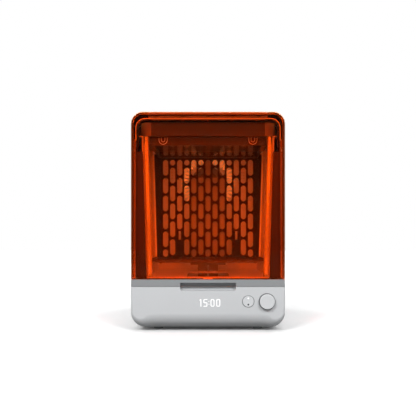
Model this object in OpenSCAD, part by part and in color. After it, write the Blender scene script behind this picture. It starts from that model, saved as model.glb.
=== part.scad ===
// Bench-top light curing unit for a dental laboratory.
// X runs to the right, Y runs to the rear and Z runs up. The origin is on the table, in the
// middle of the footprint. The modules draw in a working frame whose Y is the depth behind
// the front face, and placed() moves each sub-part from there to the footprint's middle.

/* [Body] */
// Overall width
body_w = 261; // [247:1:285]
// Depth from the front face to the rear panel
body_d = 370; // [355:1:400]
// Height above the table
body_h = 372; // [366:1:400]
// Height of the lower shell's top edge above the table
base_top = 75.5; // [73:0.5:80]
// Radius of the lower shell's bottom edges
bottom_r = 26; // [20:1:28]
// Radius of the upper corners of door and casing
top_r = 20; // [16:1:20]
// Wall of the moulded lower shell
shell_wall = 3; // [2.5:0.1:4]
// Thickness of the casing's sheet metal
sheet = 1.5; // [1:0.1:2]
// Thickness of the deck that divides base and chamber
deck_t = 2; // [1.5:0.1:3]
// Seam between door and lower shell
seam = 0.5; // [0.4:0.1:1]
// Length of the side air slots
side_slot_l = 44; // [30:1:56]
// Number of air slots on each side
side_slots = 8; // [4:1:12]

/* [Feet] */
// Height of the rubber feet under the shell
foot_h = 5; // [4:0.5:7.5]
// Diameter of the rubber feet
foot_d = 16; // [12:1:18]
// Distance from the middle to each foot
foot_x = 87; // [70:1:87]
// Distance of the front feet behind the front face
foot_front = 42; // [40:1:60]
// Distance of the rear feet in front of the rear panel
foot_rear = 40; // [30:1:60]

/* [Door] */
// Reach of the door's flanges behind the front face
door_d = 45; // [40:1:50]
// Thickness of the window's front pane
pane = 3.5; // [3:0.1:4.5]
// Thickness of the window's flanges
flange = 3; // [2.6:0.1:4]
// Radius of the window's front edges
front_r = 2.5; // [1:0.1:2.5]
// Height of the bottom rail
rail_h = 12; // [11:0.5:16]
// Thickness of the bottom rail
rail_t = 17; // [16.5:0.1:20]
// Width of the rail's side arms
arm_w = 8; // [6:0.5:10]
// Width of the finger scoop
scoop_w = 94.6; // [80:0.2:94.6]
// Radius of the finger scoop
scoop_r = 14; // [11:0.5:14]
// How far the scoop is cut up into the rail
scoop_up = 6.6; // [5:0.1:7.4]
// Length of the hinge
hinge_l = 205; // [160:1:205]
// Outer diameter of the hinge knuckles
knuckle_d = 5; // [4.6:0.1:5.2]
// Diameter of the hinge pin
pin_d = 2.4; // [2:0.1:3]
// Number of hinge knuckles
knuckles = 9; // [5:2:15]
// Thickness of the hinge leaves
leaf = 1.2; // [0.8:0.1:1.4]
// Reach of each hinge leaf from the pin
leaf_reach = 30; // [20:1:34]
// Lowest point of the edge seal below the top
seal_drop = 42; // [30:1:60]
// Side of the square edge seal
seal_t = 3.2; // [2.6:0.1:3.6]
// Distance of the edge seal inside the door's sides
seal_edge = 1.1; // [0.8:0.1:1.6]
// Diameter of the closing magnets
magnet_d = 7; // [5:0.5:8]
// Height of the closing magnets
magnet_h = 3; // [2:0.5:4]

/* [Controls] */
// Height of the control row above the table
control_z = 51; // [50:0.5:54]
// Distance of the knob's centre from the right side
knob_inset = 30.7; // [28:0.1:36]
// Diameter of the knob
knob_d = 27; // [22:0.5:28]
// How far the knob stands out of the front
knob_proud = 7; // [5:0.5:10]
// Distance between the centres of knob and mode button
button_spacing = 31.7; // [29:0.1:36]
// Diameter of the mode button
button_d = 19; // [15:0.5:21]
// How far the mode button stands out of the front
button_proud = 0.8; // [0.4:0.1:1.6]
// Diameter of the button's two marks
mark_d = 2.4; // [1.6:0.1:3]
// Distance of each mark from the button's centre
mark_offset = 5.6; // [4:0.1:5.8]
// Distance of the display right of the middle
display_x = 0.5; // [-4:0.5:4]
// Height of the display's figures
figure_h = 13; // [10:0.5:15]
// Width of one figure
figure_w = 7; // [6:0.5:8]
// Stroke of the figures
stroke = 1.5; // [1:0.1:1.8]
// Gap round knob and button
control_gap = 0.45; // [0.35:0.05:0.7]
// Travel of knob and mode button when pressed
press = 0.8; // [0.4:0.1:1]
// Diameter of the knob's shaft
shaft_d = 6; // [5:0.5:6.5]

/* [Chamber] */
// Distance of the reflectors from the casing's inner face at the floor
floor_margin = 20.2; // [19:0.2:24]
// Distance of the reflectors from the casing's inner face at the ceiling
ceiling_margin = 12.8; // [12.4:0.2:14]
// Depth between the rear reflector and the rear panel's outer face
rear_space = 32; // [30:1:40]
// Depth of the air space behind the slotted baffle
air_space = 78; // [76:1:90]
// Height of the chamber's floor above the deck
floor_rise = 13; // [12:0.5:16]
// Distance of the chamber's ceiling below the top
ceiling_drop = 33; // [32:0.5:36]
// Thickness of the bright reflector sheet
bright = 1.2; // [0.8:0.1:1.5]
// Height of the tray above the chamber's floor
tray_rise = 30; // [24:1:40]
// Thickness of the tray
tray_t = 1.2; // [0.8:0.1:2]
// Gap between the tray and the walls
tray_gap = 0.6; // [0.4:0.1:1.5]
// Height of the tray's front lip
lip_h = 4.5; // [3:0.5:6]
// Depth of the tray's front edge
tray_front = 62; // [58:1:70]
// Width of the ledges that carry the tray
ledge_w = 7; // [5:0.5:12]

/* [Baffle] */
// Number of slot columns
columns = 13; // [9:2:13]
// Width of one slot
slot_w = 11; // [8:0.5:11]
// Length of one slot
slot_l = 33.3; // [26:0.1:34]
// Metal left between two columns
bridge_x = 3.9; // [3:0.1:4.2]
// Metal left between two slots of a column
bridge_z = 4.4; // [3:0.1:6]
// How far every second column is shifted down
stagger = 16.4; // [10:0.1:20]
// Height of the slot field
field_h = 204; // [180:1:205]
// Thickness of the baffle's sheet
baffle_t = 1.5; // [1:0.1:2]
// Gap between the baffle and the side reflectors
baffle_gap = 2.8; // [1:0.1:3]
// Height of the return gap under the baffle
return_gap = 27.5; // [20:0.5:29]

/* [Lamps] */
// Distance of the upper lamp housing from the casing's inner face
lamp_margin = 8; // [7.8:0.1:8.6]
// Radius of the lamp housing's front corners
lamp_r = 17; // [10:1:24]
// Height of the lamp housing
lamp_h = 24.5; // [22:0.5:25]
// Distance of the lens frame inside the lamp housing's sides
lens_margin = 17; // [15:0.5:20]
// Height of the lens frame
lens_h = 14; // [11:0.5:15]
// Distance of the lens frame behind the lamp housing's front
lens_setback = 14.5; // [10:0.5:18]
// Thickness of the lens and floor glass
glass = 3; // [2:0.1:4]
// Width of the lens clips
clip_w = 16; // [10:1:18]
// Width of the slot in the lens clips
clip_slot = 5.5; // [3:0.5:7]
// Distance from the middle to each lens clip
clip_x = 80.6; // [60:0.2:84]
// Width of the floor lamp's glass
floor_lamp_w = 80; // [60:1:90]
// Depth of the floor lamp's glass
floor_lamp_l = 150; // [120:1:150]
// Depth at which the floor lamp's glass begins
floor_lamp_y = 74; // [68:1:84]
// Spacing of the diodes
diode_pitch = 24; // [20:1:30]
// Number of heat sink fins
fins = 24; // [16:1:30]

/* [Air] */
// Distance of the fan's shaft below the ceiling
fan_drop = 63; // [62:0.5:70]
// Radius of the heater's ring
heater_ring_r = 50; // [47:0.5:52]
// Radius of the heater's coil
heater_coil_r = 7; // [5:0.5:8]
// Number of heater curls
heater_curls = 44; // [30:1:50]
// Diameter of the heater wire
heater_wire = 1.4; // [1:0.1:1.8]
// Half of the motor bracket's width
bracket_half = 37; // [30:1:38]
// Diameter of the fan motor
motor_d = 44; // [36:1:50]
// Length of the fan motor
motor_l = 25; // [18:1:26]
// Radius of the circulation fan
impeller_r = 38; // [30:1:40]
// Number of blades on each fan
blades = 7; // [5:1:9]
// Side of the square exhaust fans
exhaust_side = 60; // [50:1:60]
// Thickness of the exhaust fans
exhaust_t = 20; // [16:1:22]
// Distance from the middle to each exhaust fan
exhaust_x = 80; // [66:1:82]
// How far the finger guards stand behind the rear panel
guard_proud = 6; // [5:0.5:8]
// Diameter of the finger guards' wire
guard_wire = 1.8; // [1.4:0.1:2.2]

/* [Power] */
// Distance of the mains inlet right of the middle
inlet_x = 62; // [50:1:70]
// Height of the mains inlet above the table
inlet_z = 38; // [34:1:42]
// Width of the power supply
supply_w = 92; // [70:1:110]
// Length of the power supply
supply_l = 140; // [100:1:160]
// Height of the power supply
supply_h = 38; // [25:1:42]

/* [Hidden] */
$fn = 64;

// Clearances: fit for parts laid in pockets, run for shafts, gap between separate movers
fit = 0.05;
run = 0.05;
gap = 0.3;
// Overlap that lets a cut pass its surface
over = 1;

// Screws
screw_d = 3;
head_d = 5.6;
head_h = 1.6;
socket_d = 2.4;

foot_boss_d = 9;
foot_boss_h = 9;
foot_screw_l = shell_wall / 2 + foot_boss_h - 1.5;
foot_seat = head_h + 0.8;

half_w = body_w / 2;
inner_half = half_w - sheet;
y_front = knob_proud - (knob_proud + body_d + guard_proud) / 2;
shell_floor = foot_h + shell_wall;
shell_half = half_w - shell_wall;
panel_y = body_d - sheet;

// Door and hinge
door_z = base_top + seam;
window_z = door_z + rail_h;
tongue_h = 3;
tongue_t = 1.5;
tongue_inset = 10;
scoop_z = door_z + scoop_up;
scoop_wall = 2.5;
hinge_y = door_d + 3;
hinge_z = body_h - knuckle_d / 2 - 0.1;
knuckle_gap = 0.4;
knuckle_l = hinge_l / knuckles;
casing_y = door_d + 2;
cutback_y = hinge_y + 5.5;
cutback_z = body_h - 13;
door_screw_y = 24;
hinge_screws = [-88, -44, 0, 44, 88];
magnet_x = half_w - 18.5;
magnet_y = 10;

// Casing
casing_flange = 12;
rear_flange = 10;
flange_end = body_d - 4;
casing_screw_y = [70, 200, 330];
casing_screw_x = inner_half - casing_flange / 2 - 0.5;
casing_screw_l = sheet + deck_t + 6;
rear_screw_z = [base_top + 50, base_top + 160];
rear_screw_x = inner_half - rear_flange / 2;
top_screw_x = 60;
top_screw_z = body_h - sheet - rear_flange / 2;
low_screw_x = shell_half - 7;
low_screw_z = base_top - 38;
lug_w = 10;
rear_screw_l = 8;
hinge_screw_y = hinge_y + 18;
shelf_front = 24;
shelf_w = 10;
shelf_h = 8;
cable_hole = 36;
side_slot_h = 6;
side_slot_pitch = 13;
side_slot_z = base_top + 30;
frame_y = door_d + 6;
frame_rear = frame_y + sheet;
frame_step = 28;
frame_top = body_h - top_r - 2;

// Chamber
floor_z = base_top + floor_rise;
ceiling_z = body_h - ceiling_drop;
floor_half = inner_half - floor_margin;
ceiling_half = inner_half - ceiling_margin;
rear_y = body_d - rear_space;
baffle_y = rear_y - air_space;
pan_half = inner_half - 11;
pan_lip = 1.2;
wall_flange = 5.8;
tray_z = floor_z + tray_rise;
ledge_z = tray_z - tray_t - gap;
tray_rear = baffle_y - 4;
tray_half = wall_x(tray_z - tray_t) - tray_gap;
baffle_z = floor_z + return_gap;
baffle_top = ceiling_z - 5;
field_z = baffle_z + 2.5;
slot_pitch_x = slot_w + bridge_x;
slot_pitch_z = slot_l + bridge_z;
short_column = 4;
angle_face = 8;
angle_leg = 12;
ledge_leg = 9;
lip_half = tray_half - 24.6;
bumper_d = 3.5;
tray_hole = [16, 25];
tray_hole_pitch = [22, 43];
vent_hole = 4;
vent_pitch = 6.6;

// Lamps
lamp_half = inner_half - lamp_margin;
lamp_y = frame_rear + 1;
lamp_end = baffle_y - 6.5;
lamp_top = ceiling_z + lamp_h;
lens_half = lamp_half - lens_margin;
lens_y = lamp_y + lens_setback;
lens_end = lamp_end - 3.5;
lens_wall = 3;
lens_lip = 6;
lens_z = ceiling_z - lens_h;
lamp_opening = 6;
clip_t = 1.2;
bracket_x = lamp_half + 2.2;
bracket_l = 20;
bracket_low = ceiling_z - 27;
bracket_high = lamp_top - 1.5;
lamp_floor_t = 2.5;
lamp_rim = 5;
diode = 3.5;
diode_h = 1;

// Air
fan_z = ceiling_z - fan_drop;
fan_bracket_y = baffle_y + 8;
fan_bracket_t = 2;
motor_y = fan_bracket_y + fan_bracket_t;
fan_shaft_d = 5;
heater_y = fan_bracket_y + 16;
impeller_y = motor_y + motor_l + 4;
impeller_t = 20;
post_d = 6;
exhaust_z = ceiling_z - 25;
exhaust_y = panel_y - exhaust_t;
exhaust_bore = exhaust_side - 3;
hub_d = 24;
arbor_d = 3;

// Controls
knob_x = half_w - knob_inset;
button_x = knob_x - button_spacing;
cup_depth = 6;
knob_rear = cup_depth - press - 0.7;
knob_l = knob_proud + knob_rear;
knob_edge_r = 1.2;
knob_cup = knob_d + 2 * control_gap;
cup_wall = 2;
board_y = 19;
board_t = 1.6;
board_left = -34;
board_right = knob_x + 18;
board_half_h = 17;
chip = 12;
board_boss_d = 7;
board_boss_depth = 10;
board_screw_x = [board_left + 5, button_x - 22];
board_screw_z = [control_z - board_half_h + 3.5, control_z + board_half_h - 3.5];
bushing_d = 9;
encoder_side = 14;
encoder_y = board_y - 8;
rotor_d = 10;
rotor_t = 1.5;
rotor_y = encoder_y + 2;
button_hole = button_d + 2 * control_gap;
button_flange = 1.6;
stem_d = 6;
switch_h = 3.5;
switch_travel = 1.5;
switch_side = 8;
switch_d = 3.5;
stem_end = board_y - switch_h - switch_travel - gap - press;
mark_seat = 0.6 - button_proud;
button_seat = shell_wall + 0.4;

// Position of a figure's cell, counted from the display's left
figure_gap = 2.6;
colon_gap = 7.1;
display_w = 4 * figure_w + 2 * figure_gap + colon_gap;
figure_left = [
    0, figure_w + figure_gap, 2 * figure_w + figure_gap + colon_gap,
    3 * figure_w + 2 * figure_gap + colon_gap
];
// Segments lit for 15:00, named a to g as on a seven-segment display
figure_segments = ["bc", "acdfg", "abcdef", "abcdef"];

// Inlet and rocker
inlet_w = 27;
inlet_h = 20;
socket_depth = 15;
rocker_w = 13;
rocker_half = 9.5;
rocker_tilt = 7;
axle_d = 2.4;
rocker_x = inlet_x + 32;
rocker_y = body_d - 5;
bezel_t = 2.5;
bezel_left = inlet_x - 19;
bezel_right = rocker_x + 12;
bezel_half_h = 16;
bezel_rim = 3;
inlet_body = 22;
panel_slot_l = 60;
pin_size = 3.1;
inlet_pin_places = [[inlet_x, inlet_z + 4], [inlet_x - 7, inlet_z - 1], [inlet_x + 7, inlet_z - 1]];
panel_slots = 9;

// Inner face of the side reflectors at a height
function wall_x(z) = floor_half + (ceiling_half - floor_half) * (z - floor_z) / (ceiling_z - floor_z);

module placed() {
    translate([0, y_front, 0]) children();
}

// Extrudes a drawing of X and Z along the depth
module along_y(y0, y1) {
    translate([0, y1, 0]) rotate([90, 0, 0]) linear_extrude(y1 - y0) children();
}

// Extrudes a drawing of depth and Z along X
module along_x(x0, x1) {
    translate([x0, 0, 0]) rotate([90, 0, 90]) linear_extrude(x1 - x0) children();
}

module along_z(z0, z1) {
    translate([0, 0, z0]) linear_extrude(z1 - z0) children();
}

// Cylinder whose axis runs along the depth
module rod_y(x, z, d, y0, y1) {
    translate([x, y1, z]) rotate([90, 0, 0]) cylinder(d = d, h = y1 - y0);
}

// Draws the same thing right and left
module both_sides() {
    for (side = [0, 1]) mirror([side, 0, 0]) children();
}

module block(x0, x1, y0, y1, z0, z1) {
    translate([x0, y0, z0]) cube([x1 - x0, y1 - y0, z1 - z0]);
}

// Rectangle centred on X, its lower and upper corners rounded by their own radii
module outline(w, z0, z1, low_r, high_r) {
    mid = (z0 + z1) / 2;
    translate([-w / 2, z0 + low_r]) square([w, z1 - z0 - low_r - high_r]);
    translate([-w / 2 + low_r, z0]) square([w - 2 * low_r, mid - z0]);
    translate([-w / 2 + high_r, mid]) square([w - 2 * high_r, z1 - mid]);
    for (side = [-1, 1]) {
        if (low_r > 0) translate([side * (w / 2 - low_r), z0 + low_r]) circle(low_r);
        if (high_r > 0) translate([side * (w / 2 - high_r), z1 - high_r]) circle(high_r);
    }
}

// Side view of a shell: depth and Z, with the front lower corner rounded
module side_outline(y0, y1, z0, z1, r) {
    translate([y0, z0 + r]) square([y1 - y0, z1 - z0 - r]);
    translate([y0 + r, z0]) square([y1 - y0 - r, z1 - z0]);
    translate([y0 + r, z0 + r]) circle(r);
}

// Screw with its head above Z = 0 and its shank below
module screw(l) {
    difference() {
        union() {
            cylinder(d = head_d, h = head_h);
            translate([0, 0, -l]) cylinder(d = screw_d, h = l + 0.2);
        }
        translate([0, 0, head_h / 2]) cylinder(d = socket_d, h = over, $fn = 6);
    }
}

// Screw whose head faces the rear, its seat at a depth
module rear_screw(x, y, z, l) {
    translate([x, y, z]) rotate([-90, 0, 0]) screw(l);
}

// Screw that is driven upwards, its seat at a height
module under_screw(x, y, z, l) {
    translate([x, y, z]) rotate([180, 0, 0]) screw(l);
}

module screw_hole(h) {
    cylinder(d = screw_d + 2 * fit, h = h);
}

module shell_form(inset, open) {
    intersection() {
        along_y(inset, body_d + open)
            outline(body_w - 2 * inset, foot_h + inset, base_top + open, bottom_r - inset, 0);
        along_x(-half_w, half_w)
            side_outline(inset, body_d + open, foot_h + inset, base_top + open, bottom_r - inset);
        along_z(foot_h, base_top + open)
            outline(body_w - 2 * inset, inset, body_d + open, max(front_r - inset, 0), 0);
    }
}

// Finger scoop: the part below its flat ceiling of a cylinder that lies along X
module scoop(grow) {
    intersection() {
        translate([-scoop_w / 2 - grow, 0, scoop_z]) rotate([0, 90, 0])
            cylinder(r = scoop_r + grow, h = scoop_w + 2 * grow);
        block(-half_w, half_w, -scoop_r, 2 * scoop_r, scoop_z - 2 * scoop_r, scoop_z);
    }
}

// One bar of a figure: a hexagon along X from the middle
module segment_bar(l) {
    s = stroke / 2;
    polygon([[-l, 0], [s - l, s], [l - s, s], [l, 0], [l - s, -s], [s - l, -s]]);
}

module figure(segments) {
    w = (figure_w - stroke) / 2;
    h = (figure_h - stroke) / 2;
    reach_x = w - 0.2;
    reach_z = h / 2 - 0.2;
    for (s = segments) {
        if (s == "a") translate([0, h]) segment_bar(reach_x);
        if (s == "g") segment_bar(reach_x);
        if (s == "d") translate([0, -h]) segment_bar(reach_x);
        if (s == "b") translate([w, h / 2]) rotate(90) segment_bar(reach_z);
        if (s == "c") translate([w, -h / 2]) rotate(90) segment_bar(reach_z);
        if (s == "e") translate([-w, -h / 2]) rotate(90) segment_bar(reach_z);
        if (s == "f") translate([-w, h / 2]) rotate(90) segment_bar(reach_z);
    }
}

// The whole reading, drawn in X and Z
module reading() {
    translate([display_x - display_w / 2, control_z - 2.4]) {
        for (i = [0:3])
            translate([figure_left[i] + figure_w / 2, 0]) figure(figure_segments[i]);
        for (side = [-1, 1])
            translate([display_w / 2, side * figure_h / 5]) circle(d = stroke, $fn = 24);
    }
}

module base_shell() {
    color("#d0d2d4") placed() difference() {
        union() {
            difference() {
                shell_form(0, 0);
                shell_form(shell_wall, over);
            }
            intersection() {
                shell_form(shell_wall / 2, 0);
                union() {
                    scoop(scoop_wall);
                    for (side = [-1, 1]) {
                        shelf_x = side > 0 ? shell_half - shelf_w : -half_w;
                        block(shelf_x, shelf_x + shelf_w + shell_wall, shelf_front, flange_end,
                            base_top - deck_t - shelf_h, base_top - deck_t);
                        block(side * magnet_x - magnet_d, side * magnet_x + magnet_d,
                            shell_wall / 2, magnet_y + magnet_d + 1, base_top - magnet_h - 7, base_top);
                        block(side * shell_half - lug_w, side * shell_half + lug_w,
                            panel_y - lug_w - 2, panel_y, low_screw_z - lug_w / 2, low_screw_z + lug_w / 2);
                    }
                    rod_y(knob_x, control_z, knob_cup + 2 * scoop_wall, shell_wall / 2,
                        cup_depth + cup_wall);
                    for (x = board_screw_x, z = board_screw_z)
                        rod_y(x, z, board_boss_d, shell_wall / 2, board_y);
                    for (x = [-foot_x, foot_x], y = [foot_front, body_d - foot_rear])
                        translate([x, y, foot_h + shell_wall / 2])
                            cylinder(d = foot_boss_d, h = foot_boss_h);
                }
            }
        }
        scoop(0);
        rod_y(knob_x, control_z, knob_cup, -over, cup_depth);
        rod_y(knob_x, control_z, bushing_d + 2 * fit, 0, cup_depth + cup_wall + over);
        rod_y(button_x, control_z, button_hole, -over, shell_wall + over);
        along_y(-over, shell_wall + over) reading();
        for (x = board_screw_x, z = board_screw_z)
            rod_y(x, z, screw_d + 2 * fit, board_y - board_boss_depth, board_y + over);
        for (x = [-foot_x, foot_x], y = [foot_front, body_d - foot_rear])
            translate([x, y, foot_h - over]) screw_hole(foot_screw_l + 2 * over);
        for (side = [-1, 1]) {
            translate([side * magnet_x, magnet_y, base_top - magnet_h])
                cylinder(d = magnet_d + 2 * fit, h = magnet_h + over);
            rod_y(side * low_screw_x, low_screw_z, screw_d + 2 * fit,
                panel_y - rear_screw_l - over, panel_y + over);
            for (y = casing_screw_y)
                translate([side * casing_screw_x, y, base_top - deck_t - shelf_h + over])
                    screw_hole(shelf_h);
        }
    }
}

module foot(x, y) {
    color("#2b2b2d") placed() translate([x, y, 0]) difference() {
        rotate_extrude() difference() {
            square([foot_d / 2, foot_h]);
            translate([foot_d / 2, 0]) rotate(45) square([1.2, 1.2], center = true);
        }
        translate([0, 0, -over]) screw_hole(foot_h + 2 * over);
        translate([0, 0, -over]) cylinder(d = head_d + 1, h = over + foot_seat);
    }
}

module foot_front_left() foot(-foot_x, foot_front);
module foot_front_right() foot(foot_x, foot_front);
module foot_rear_left() foot(-foot_x, body_d - foot_rear);
module foot_rear_right() foot(foot_x, body_d - foot_rear);

module foot_screws() {
    color("#b8babc") placed()
        for (x = [-foot_x, foot_x], y = [foot_front, body_d - foot_rear])
            under_screw(x, y, foot_seat, foot_h - foot_seat + foot_screw_l);
}

module deck() {
    color("#a9abad") placed() difference() {
        along_z(base_top - deck_t, base_top) difference() {
            outline(2 * (shell_half - gap), shelf_front - 4, flange_end, 0, 0);
            for (x = [-1, 0, 1])
                translate([x * 58 - cable_hole / 2, baffle_y + 10]) square(cable_hole);
        }
        for (x = [-casing_screw_x, casing_screw_x], y = casing_screw_y)
            translate([x, y, base_top - deck_t - over]) screw_hole(deck_t + 2 * over);
    }
}

module casing() {
    color("#d0d2d4") placed() difference() {
        union() {
            along_y(casing_y, body_d) difference() {
                outline(body_w, base_top, body_h, 0, top_r);
                outline(2 * inner_half, base_top - over, body_h - sheet, 0, top_r - sheet);
            }
            along_y(panel_y - sheet, panel_y) difference() {
                outline(2 * inner_half + sheet, base_top + 10, body_h - sheet / 2, 0, top_r - sheet / 2);
                outline(2 * (inner_half - rear_flange), base_top, body_h - sheet - rear_flange,
                    0, top_r - rear_flange);
            }
            for (side = [-1, 1]) {
                foot_x0 = side > 0 ? inner_half - casing_flange : -half_w + sheet / 2;
                block(foot_x0, foot_x0 + casing_flange + sheet / 2, casing_y, flange_end,
                    base_top, base_top + sheet);
            }
        }
        block(-half_w - over, half_w + over, 0, cutback_y, cutback_z, body_h + over);
        for (side = [-1, 1]) {
            for (i = [0:side_slots - 1])
                block(side * half_w - 2 * sheet, side * half_w + over, rear_y - side_slot_l - 4, rear_y - 4,
                    side_slot_z + i * side_slot_pitch, side_slot_z + i * side_slot_pitch + side_slot_h);
            for (y = casing_screw_y)
                translate([side * casing_screw_x, y, base_top - over]) screw_hole(sheet + 2 * over);
            for (z = rear_screw_z)
                rod_y(side * rear_screw_x, z, screw_d + 2 * fit, panel_y - sheet - over, panel_y + over);
        }
        for (x = [-top_screw_x, top_screw_x])
            rod_y(x, top_screw_z, screw_d + 2 * fit, panel_y - sheet - over, panel_y + over);
        for (x = hinge_screws)
            translate([x, hinge_screw_y, body_h - sheet - over]) screw_hole(sheet + 2 * over);
    }
}

module chassis_screws() {
    color("#b8babc") placed() {
        for (x = [-casing_screw_x, casing_screw_x], y = casing_screw_y)
            translate([x, y, base_top + sheet]) screw(casing_screw_l);
        for (x = [-1, 1], z = rear_screw_z)
            rear_screw(x * rear_screw_x, body_d, z, rear_screw_l);
        for (x = [-top_screw_x, top_screw_x]) rear_screw(x, body_d, top_screw_z, rear_screw_l);
        for (x = [-1, 1]) rear_screw(x * low_screw_x, body_d, low_screw_z, rear_screw_l);
        for (x = board_screw_x, z = board_screw_z)
            rear_screw(x, board_y + board_t, z, board_t + board_boss_depth - 2);
        for (x = hinge_screws)
            under_screw(x, hinge_screw_y, body_h - sheet - leaf, sheet + leaf);
    }
}

module front_frame() {
    low = floor_z - bright;
    step_z = ceiling_z - frame_step;
    step_x = bracket_x + 2.4;
    half_outline = [
        [wall_x(low), low], [wall_x(step_z), step_z], [step_x, step_z], [step_x, frame_top + over]
    ];
    color("#26272a") placed() along_y(frame_y, frame_rear) difference() {
        union() {
            translate([-inner_half, base_top + sheet])
                square([2 * inner_half, frame_top - base_top - sheet]);
            translate([-inner_half + casing_flange, base_top])
                square([2 * (inner_half - casing_flange), low - base_top]);
        }
        polygon(concat(half_outline, [for (i = [3:-1:0]) [-half_outline[i][0], half_outline[i][1]]]));
    }
}

module rear_panel() {
    color("#9a9c9e") placed() difference() {
        along_y(panel_y, body_d) difference() {
            union() {
                outline(2 * (shell_half - gap), shell_floor + gap, base_top + over,
                    bottom_r - shell_wall - gap, 0);
                outline(2 * (inner_half - gap), base_top + gap, body_h - sheet - gap, 0,
                    top_r - sheet - gap);
            }
            for (side = [-1, 1])
                translate([side * exhaust_x, exhaust_z]) circle(d = exhaust_bore);
            for (i = [0:panel_slots - 1])
                translate([-panel_slot_l / 2, base_top + 40 + 12 * i]) square([panel_slot_l, 5]);
            for (i = [0:2])
                translate([-panel_slot_l * 1.5, inlet_z - 10 + 9 * i]) square([panel_slot_l, 4]);
            translate([bezel_left + bezel_rim, inlet_z - bezel_half_h + bezel_rim])
                square([bezel_right - bezel_left - 2 * bezel_rim, 2 * (bezel_half_h - bezel_rim)]);
        }
        for (side = [-1, 1]) {
            for (z = rear_screw_z)
                rod_y(side * rear_screw_x, z, screw_d + 2 * fit, panel_y - over, body_d + over);
            rod_y(side * low_screw_x, low_screw_z, screw_d + 2 * fit,
                panel_y - over, body_d + over);
            rod_y(side * top_screw_x, top_screw_z, screw_d + 2 * fit, panel_y - over, body_d + over);
        }
    }
}

// Outer form of the door's window and rail, drawn in by an inset
module door_form(z0, z1, inset, corner) {
    intersection() {
        along_y(inset, door_d + over)
            outline(body_w - 2 * inset, z0, z1, 0, corner);
        along_z(z0, z1)
            outline(body_w - 2 * inset, inset, door_d + over, max(front_r - inset, 0), 0);
    }
}

// Inverted U of the edge seal, drawn in X and Z; it lies under the upper flange
module seal_outline(grow) {
    out = seal_edge - grow;
    top = body_h - flange + grow;
    difference() {
        outline(body_w - 2 * out, window_z, top, 0, top_r + grow);
        outline(body_w - 2 * (out + seal_t + 2 * grow), window_z - over, top - seal_t - 2 * grow,
            0, top_r - seal_t - grow);
    }
}

module door_window() {
    color([0.93, 0.28, 0.02, 0.55]) placed() difference() {
        union() {
            intersection() {
                difference() {
                    door_form(window_z, body_h, 0, top_r);
                    along_y(pane, door_d + 2 * over)
                        outline(body_w - 2 * flange, window_z - over, body_h - flange, 0, top_r - flange);
                }
                block(-half_w, half_w, 0, door_d, window_z, body_h);
                along_x(-half_w, half_w) window_side();
            }
            block(-half_w + tongue_inset, half_w - tongue_inset, pane - tongue_t, pane,
                window_z - tongue_h, window_z + over);
        }
        intersection() {
            along_y(door_d - seal_t - fit, door_d + over) seal_outline(fit);
            block(-half_w, half_w, 0, door_d + 2 * over, body_h - seal_drop - fit, body_h);
        }
        block(-hinge_l / 2, hinge_l / 2, hinge_y - leaf_reach - fit, door_d + over,
            body_h - flange - over, body_h - flange + leaf + fit);
        for (x = hinge_screws)
            translate([x, door_screw_y, body_h - flange]) screw_hole(flange - 0.6);
    }
}

// Side view of the window: a flat pane whose upper front edge is rounded
module window_side() {
    translate([0, window_z]) square([door_d, body_h - window_z - front_r]);
    translate([front_r, window_z]) square([door_d - front_r, body_h - window_z]);
    translate([front_r, body_h - front_r]) circle(front_r);
}

module door_rail() {
    color("#959798") placed() difference() {
        intersection() {
            door_form(door_z, window_z, 0, 0);
            difference() {
                block(-half_w, half_w, 0, door_d, door_z, window_z);
                block(-half_w + arm_w, half_w - arm_w, rail_t, door_d + over, door_z - over,
                    window_z + over);
            }
        }
        scoop(0);
        block(-half_w + tongue_inset - fit, half_w - tongue_inset + fit, pane - tongue_t - fit,
            pane + fit, window_z - tongue_h - fit, window_z + over);
        for (side = [-1, 1])
            translate([side * magnet_x, magnet_y, door_z - over])
                cylinder(d = magnet_d + 2 * fit, h = magnet_h + over);
    }
}

module door_seal() {
    color("#e8560a") placed() intersection() {
        along_y(door_d - seal_t, door_d) seal_outline(0);
        block(-half_w, half_w, 0, door_d, body_h - seal_drop, body_h);
    }
}

// Knuckles with even or odd numbers, joined to a leaf that is notched at the others
module hinge_half(parity, y0, y1, z0, z1) {
    difference() {
        union() {
            for (i = [parity:2:knuckles - 1])
                translate([-hinge_l / 2 + i * knuckle_l + knuckle_gap / 2, hinge_y, hinge_z])
                    rotate([0, 90, 0]) cylinder(d = knuckle_d, h = knuckle_l - knuckle_gap);
            difference() {
                block(-hinge_l / 2 + knuckle_gap / 2, hinge_l / 2 - knuckle_gap / 2, y0, y1, z0, z1);
                for (i = [1 - parity:2:knuckles - 1])
                    translate([-hinge_l / 2 + i * knuckle_l - knuckle_gap / 2, hinge_y, hinge_z])
                        rotate([0, 90, 0]) cylinder(d = knuckle_d + 0.8, h = knuckle_l + knuckle_gap);
            }
        }
        translate([-hinge_l / 2 - over, hinge_y, hinge_z]) rotate([0, 90, 0])
            cylinder(d = pin_d + 2 * run, h = hinge_l + 2 * over);
    }
}

module hinge_leaf_door() {
    color("#8e9092") placed() difference() {
        hinge_half(1, hinge_y - leaf_reach, hinge_y, body_h - flange, body_h - flange + leaf);
        for (x = hinge_screws)
            translate([x, door_screw_y, body_h - flange - over]) screw_hole(leaf + 2 * over);
    }
}

module hinge_leaf_casing() {
    color("#8e9092") placed() difference() {
        hinge_half(0, hinge_y, hinge_y + leaf_reach - 4, body_h - sheet - leaf, body_h - sheet);
        for (x = hinge_screws)
            translate([x, hinge_screw_y, body_h - sheet - leaf - over]) screw_hole(leaf + 2 * over);
    }
}

module hinge_pin() {
    color("#c8cacc") placed() translate([-hinge_l / 2, hinge_y, hinge_z]) rotate([0, 90, 0])
        cylinder(d = pin_d, h = hinge_l);
}

module door_screws() {
    color("#b8babc") placed() for (x = hinge_screws)
        under_screw(x, door_screw_y, body_h - flange, flange - 0.8);
}

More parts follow.
